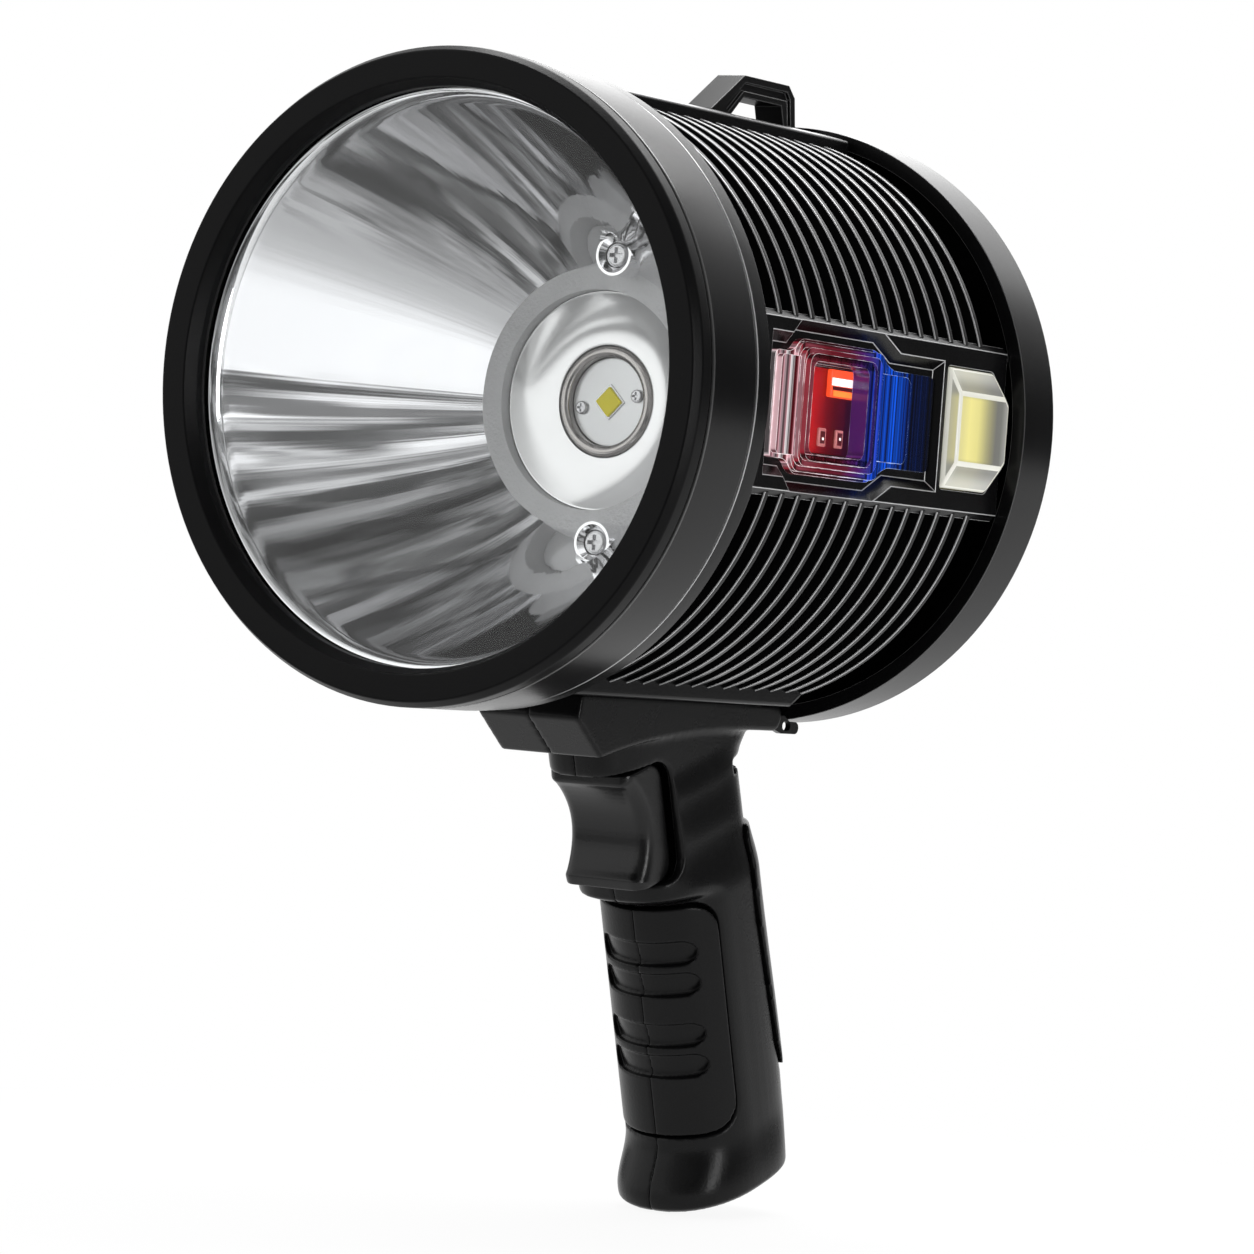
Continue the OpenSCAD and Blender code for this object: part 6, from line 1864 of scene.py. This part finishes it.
class SEARCHLIGHT_OT_mirror(bpy.types.Operator):
    """Model the front lens and the mirror bowl with its screws"""

    bl_idname = "searchlight.mirror"
    bl_label = "Lens and mirror"

    def execute(self, context):
        build_mirror(context.scene)
        return {"FINISHED"}


class SEARCHLIGHT_OT_emitter(bpy.types.Operator):
    """Model the polished dish, the retaining ring, the board and the emitter"""

    bl_idname = "searchlight.emitter"
    bl_label = "Emitter"

    def execute(self, context):
        build_emitter(context.scene)
        return {"FINISHED"}


class SEARCHLIGHT_OT_barrel(bpy.types.Operator):
    """Model the finned barrel with its rails and side panels"""

    bl_idname = "searchlight.barrel"
    bl_label = "Finned barrel"

    def execute(self, context):
        build_barrel(context.scene)
        return {"FINISHED"}


class SEARCHLIGHT_OT_beacon(bpy.types.Operator):
    """Model the beacon's lens, board, lights and resistors"""

    bl_idname = "searchlight.beacon"
    bl_label = "Beacon"

    def execute(self, context):
        build_beacon(context.scene)
        return {"FINISHED"}


class SEARCHLIGHT_OT_lamp(bpy.types.Operator):
    """Model the frosted side lamp"""

    bl_idname = "searchlight.lamp"
    bl_label = "Side lamp"

    def execute(self, context):
        build_lamp(context.scene)
        return {"FINISHED"}


class SEARCHLIGHT_OT_loop(bpy.types.Operator):
    """Model the carry loop"""

    bl_idname = "searchlight.loop"
    bl_label = "Carry loop"

    def execute(self, context):
        build_loop()
        return {"FINISHED"}


class SEARCHLIGHT_OT_grip(bpy.types.Operator):
    """Model the two halves of the grip and their screws"""

    bl_idname = "searchlight.grip"
    bl_label = "Grip halves"

    def execute(self, context):
        build_grip(context.scene)
        return {"FINISHED"}


class SEARCHLIGHT_OT_trigger(bpy.types.Operator):
    """Model the trigger"""

    bl_idname = "searchlight.trigger"
    bl_label = "Trigger"

    def execute(self, context):
        build_trigger(context.scene)
        return {"FINISHED"}


class SEARCHLIGHT_OT_pads(bpy.types.Operator):
    """Model the rubber pads of the grip"""

    bl_idname = "searchlight.pads"
    bl_label = "Grip pads"

    def execute(self, context):
        build_pads(context.scene)
        return {"FINISHED"}


class SEARCHLIGHT_OT_stage(bpy.types.Operator):
    """Set up the floor, the lamps and the camera, and finish the inner pieces"""

    bl_idname = "searchlight.stage"
    bl_label = "Stage"

    def execute(self, context):
        finish_frame_nodes()
        build_stage(context.scene)
        return {"FINISHED"}


OPERATORS = (
    SEARCHLIGHT_OT_rings, SEARCHLIGHT_OT_mirror, SEARCHLIGHT_OT_emitter, SEARCHLIGHT_OT_barrel,
    SEARCHLIGHT_OT_beacon, SEARCHLIGHT_OT_lamp, SEARCHLIGHT_OT_loop, SEARCHLIGHT_OT_grip,
    SEARCHLIGHT_OT_trigger, SEARCHLIGHT_OT_pads, SEARCHLIGHT_OT_stage,
)


class SEARCHLIGHT_PT_sidebar(bpy.types.Panel):
    """Lists the steps that model the searchlight"""

    bl_label = "Searchlight"
    bl_idname = "SEARCHLIGHT_PT_sidebar"
    bl_space_type = "VIEW_3D"
    bl_region_type = "UI"
    bl_category = "Searchlight"

    def draw(self, context):
        for step in OPERATORS:
            self.layout.operator(step.bl_idname)


CLASSES = (*SIZE_GROUPS.values(), *OPERATORS, SEARCHLIGHT_PT_sidebar)


def register():
    for item in CLASSES:
        bpy.utils.register_class(item)
    for name, group in SIZE_GROUPS.items():
        setattr(bpy.types.Scene, name, bpy.props.PointerProperty(type=group))


def unregister():
    for name in SIZE_GROUPS:
        delattr(bpy.types.Scene, name)
    for item in reversed(CLASSES):
        bpy.utils.unregister_class(item)


def main():
    """Models every piece in order."""
    register()
    make_finishes(bpy.context.scene)
    bpy.ops.searchlight.rings()
    bpy.ops.searchlight.mirror()
    bpy.ops.searchlight.emitter()
    bpy.ops.searchlight.barrel()
    bpy.ops.searchlight.beacon()
    bpy.ops.searchlight.lamp()
    bpy.ops.searchlight.loop()
    bpy.ops.searchlight.grip()
    bpy.ops.searchlight.trigger()
    bpy.ops.searchlight.pads()
    bpy.ops.searchlight.stage()


if __name__ == "__main__":
    main()
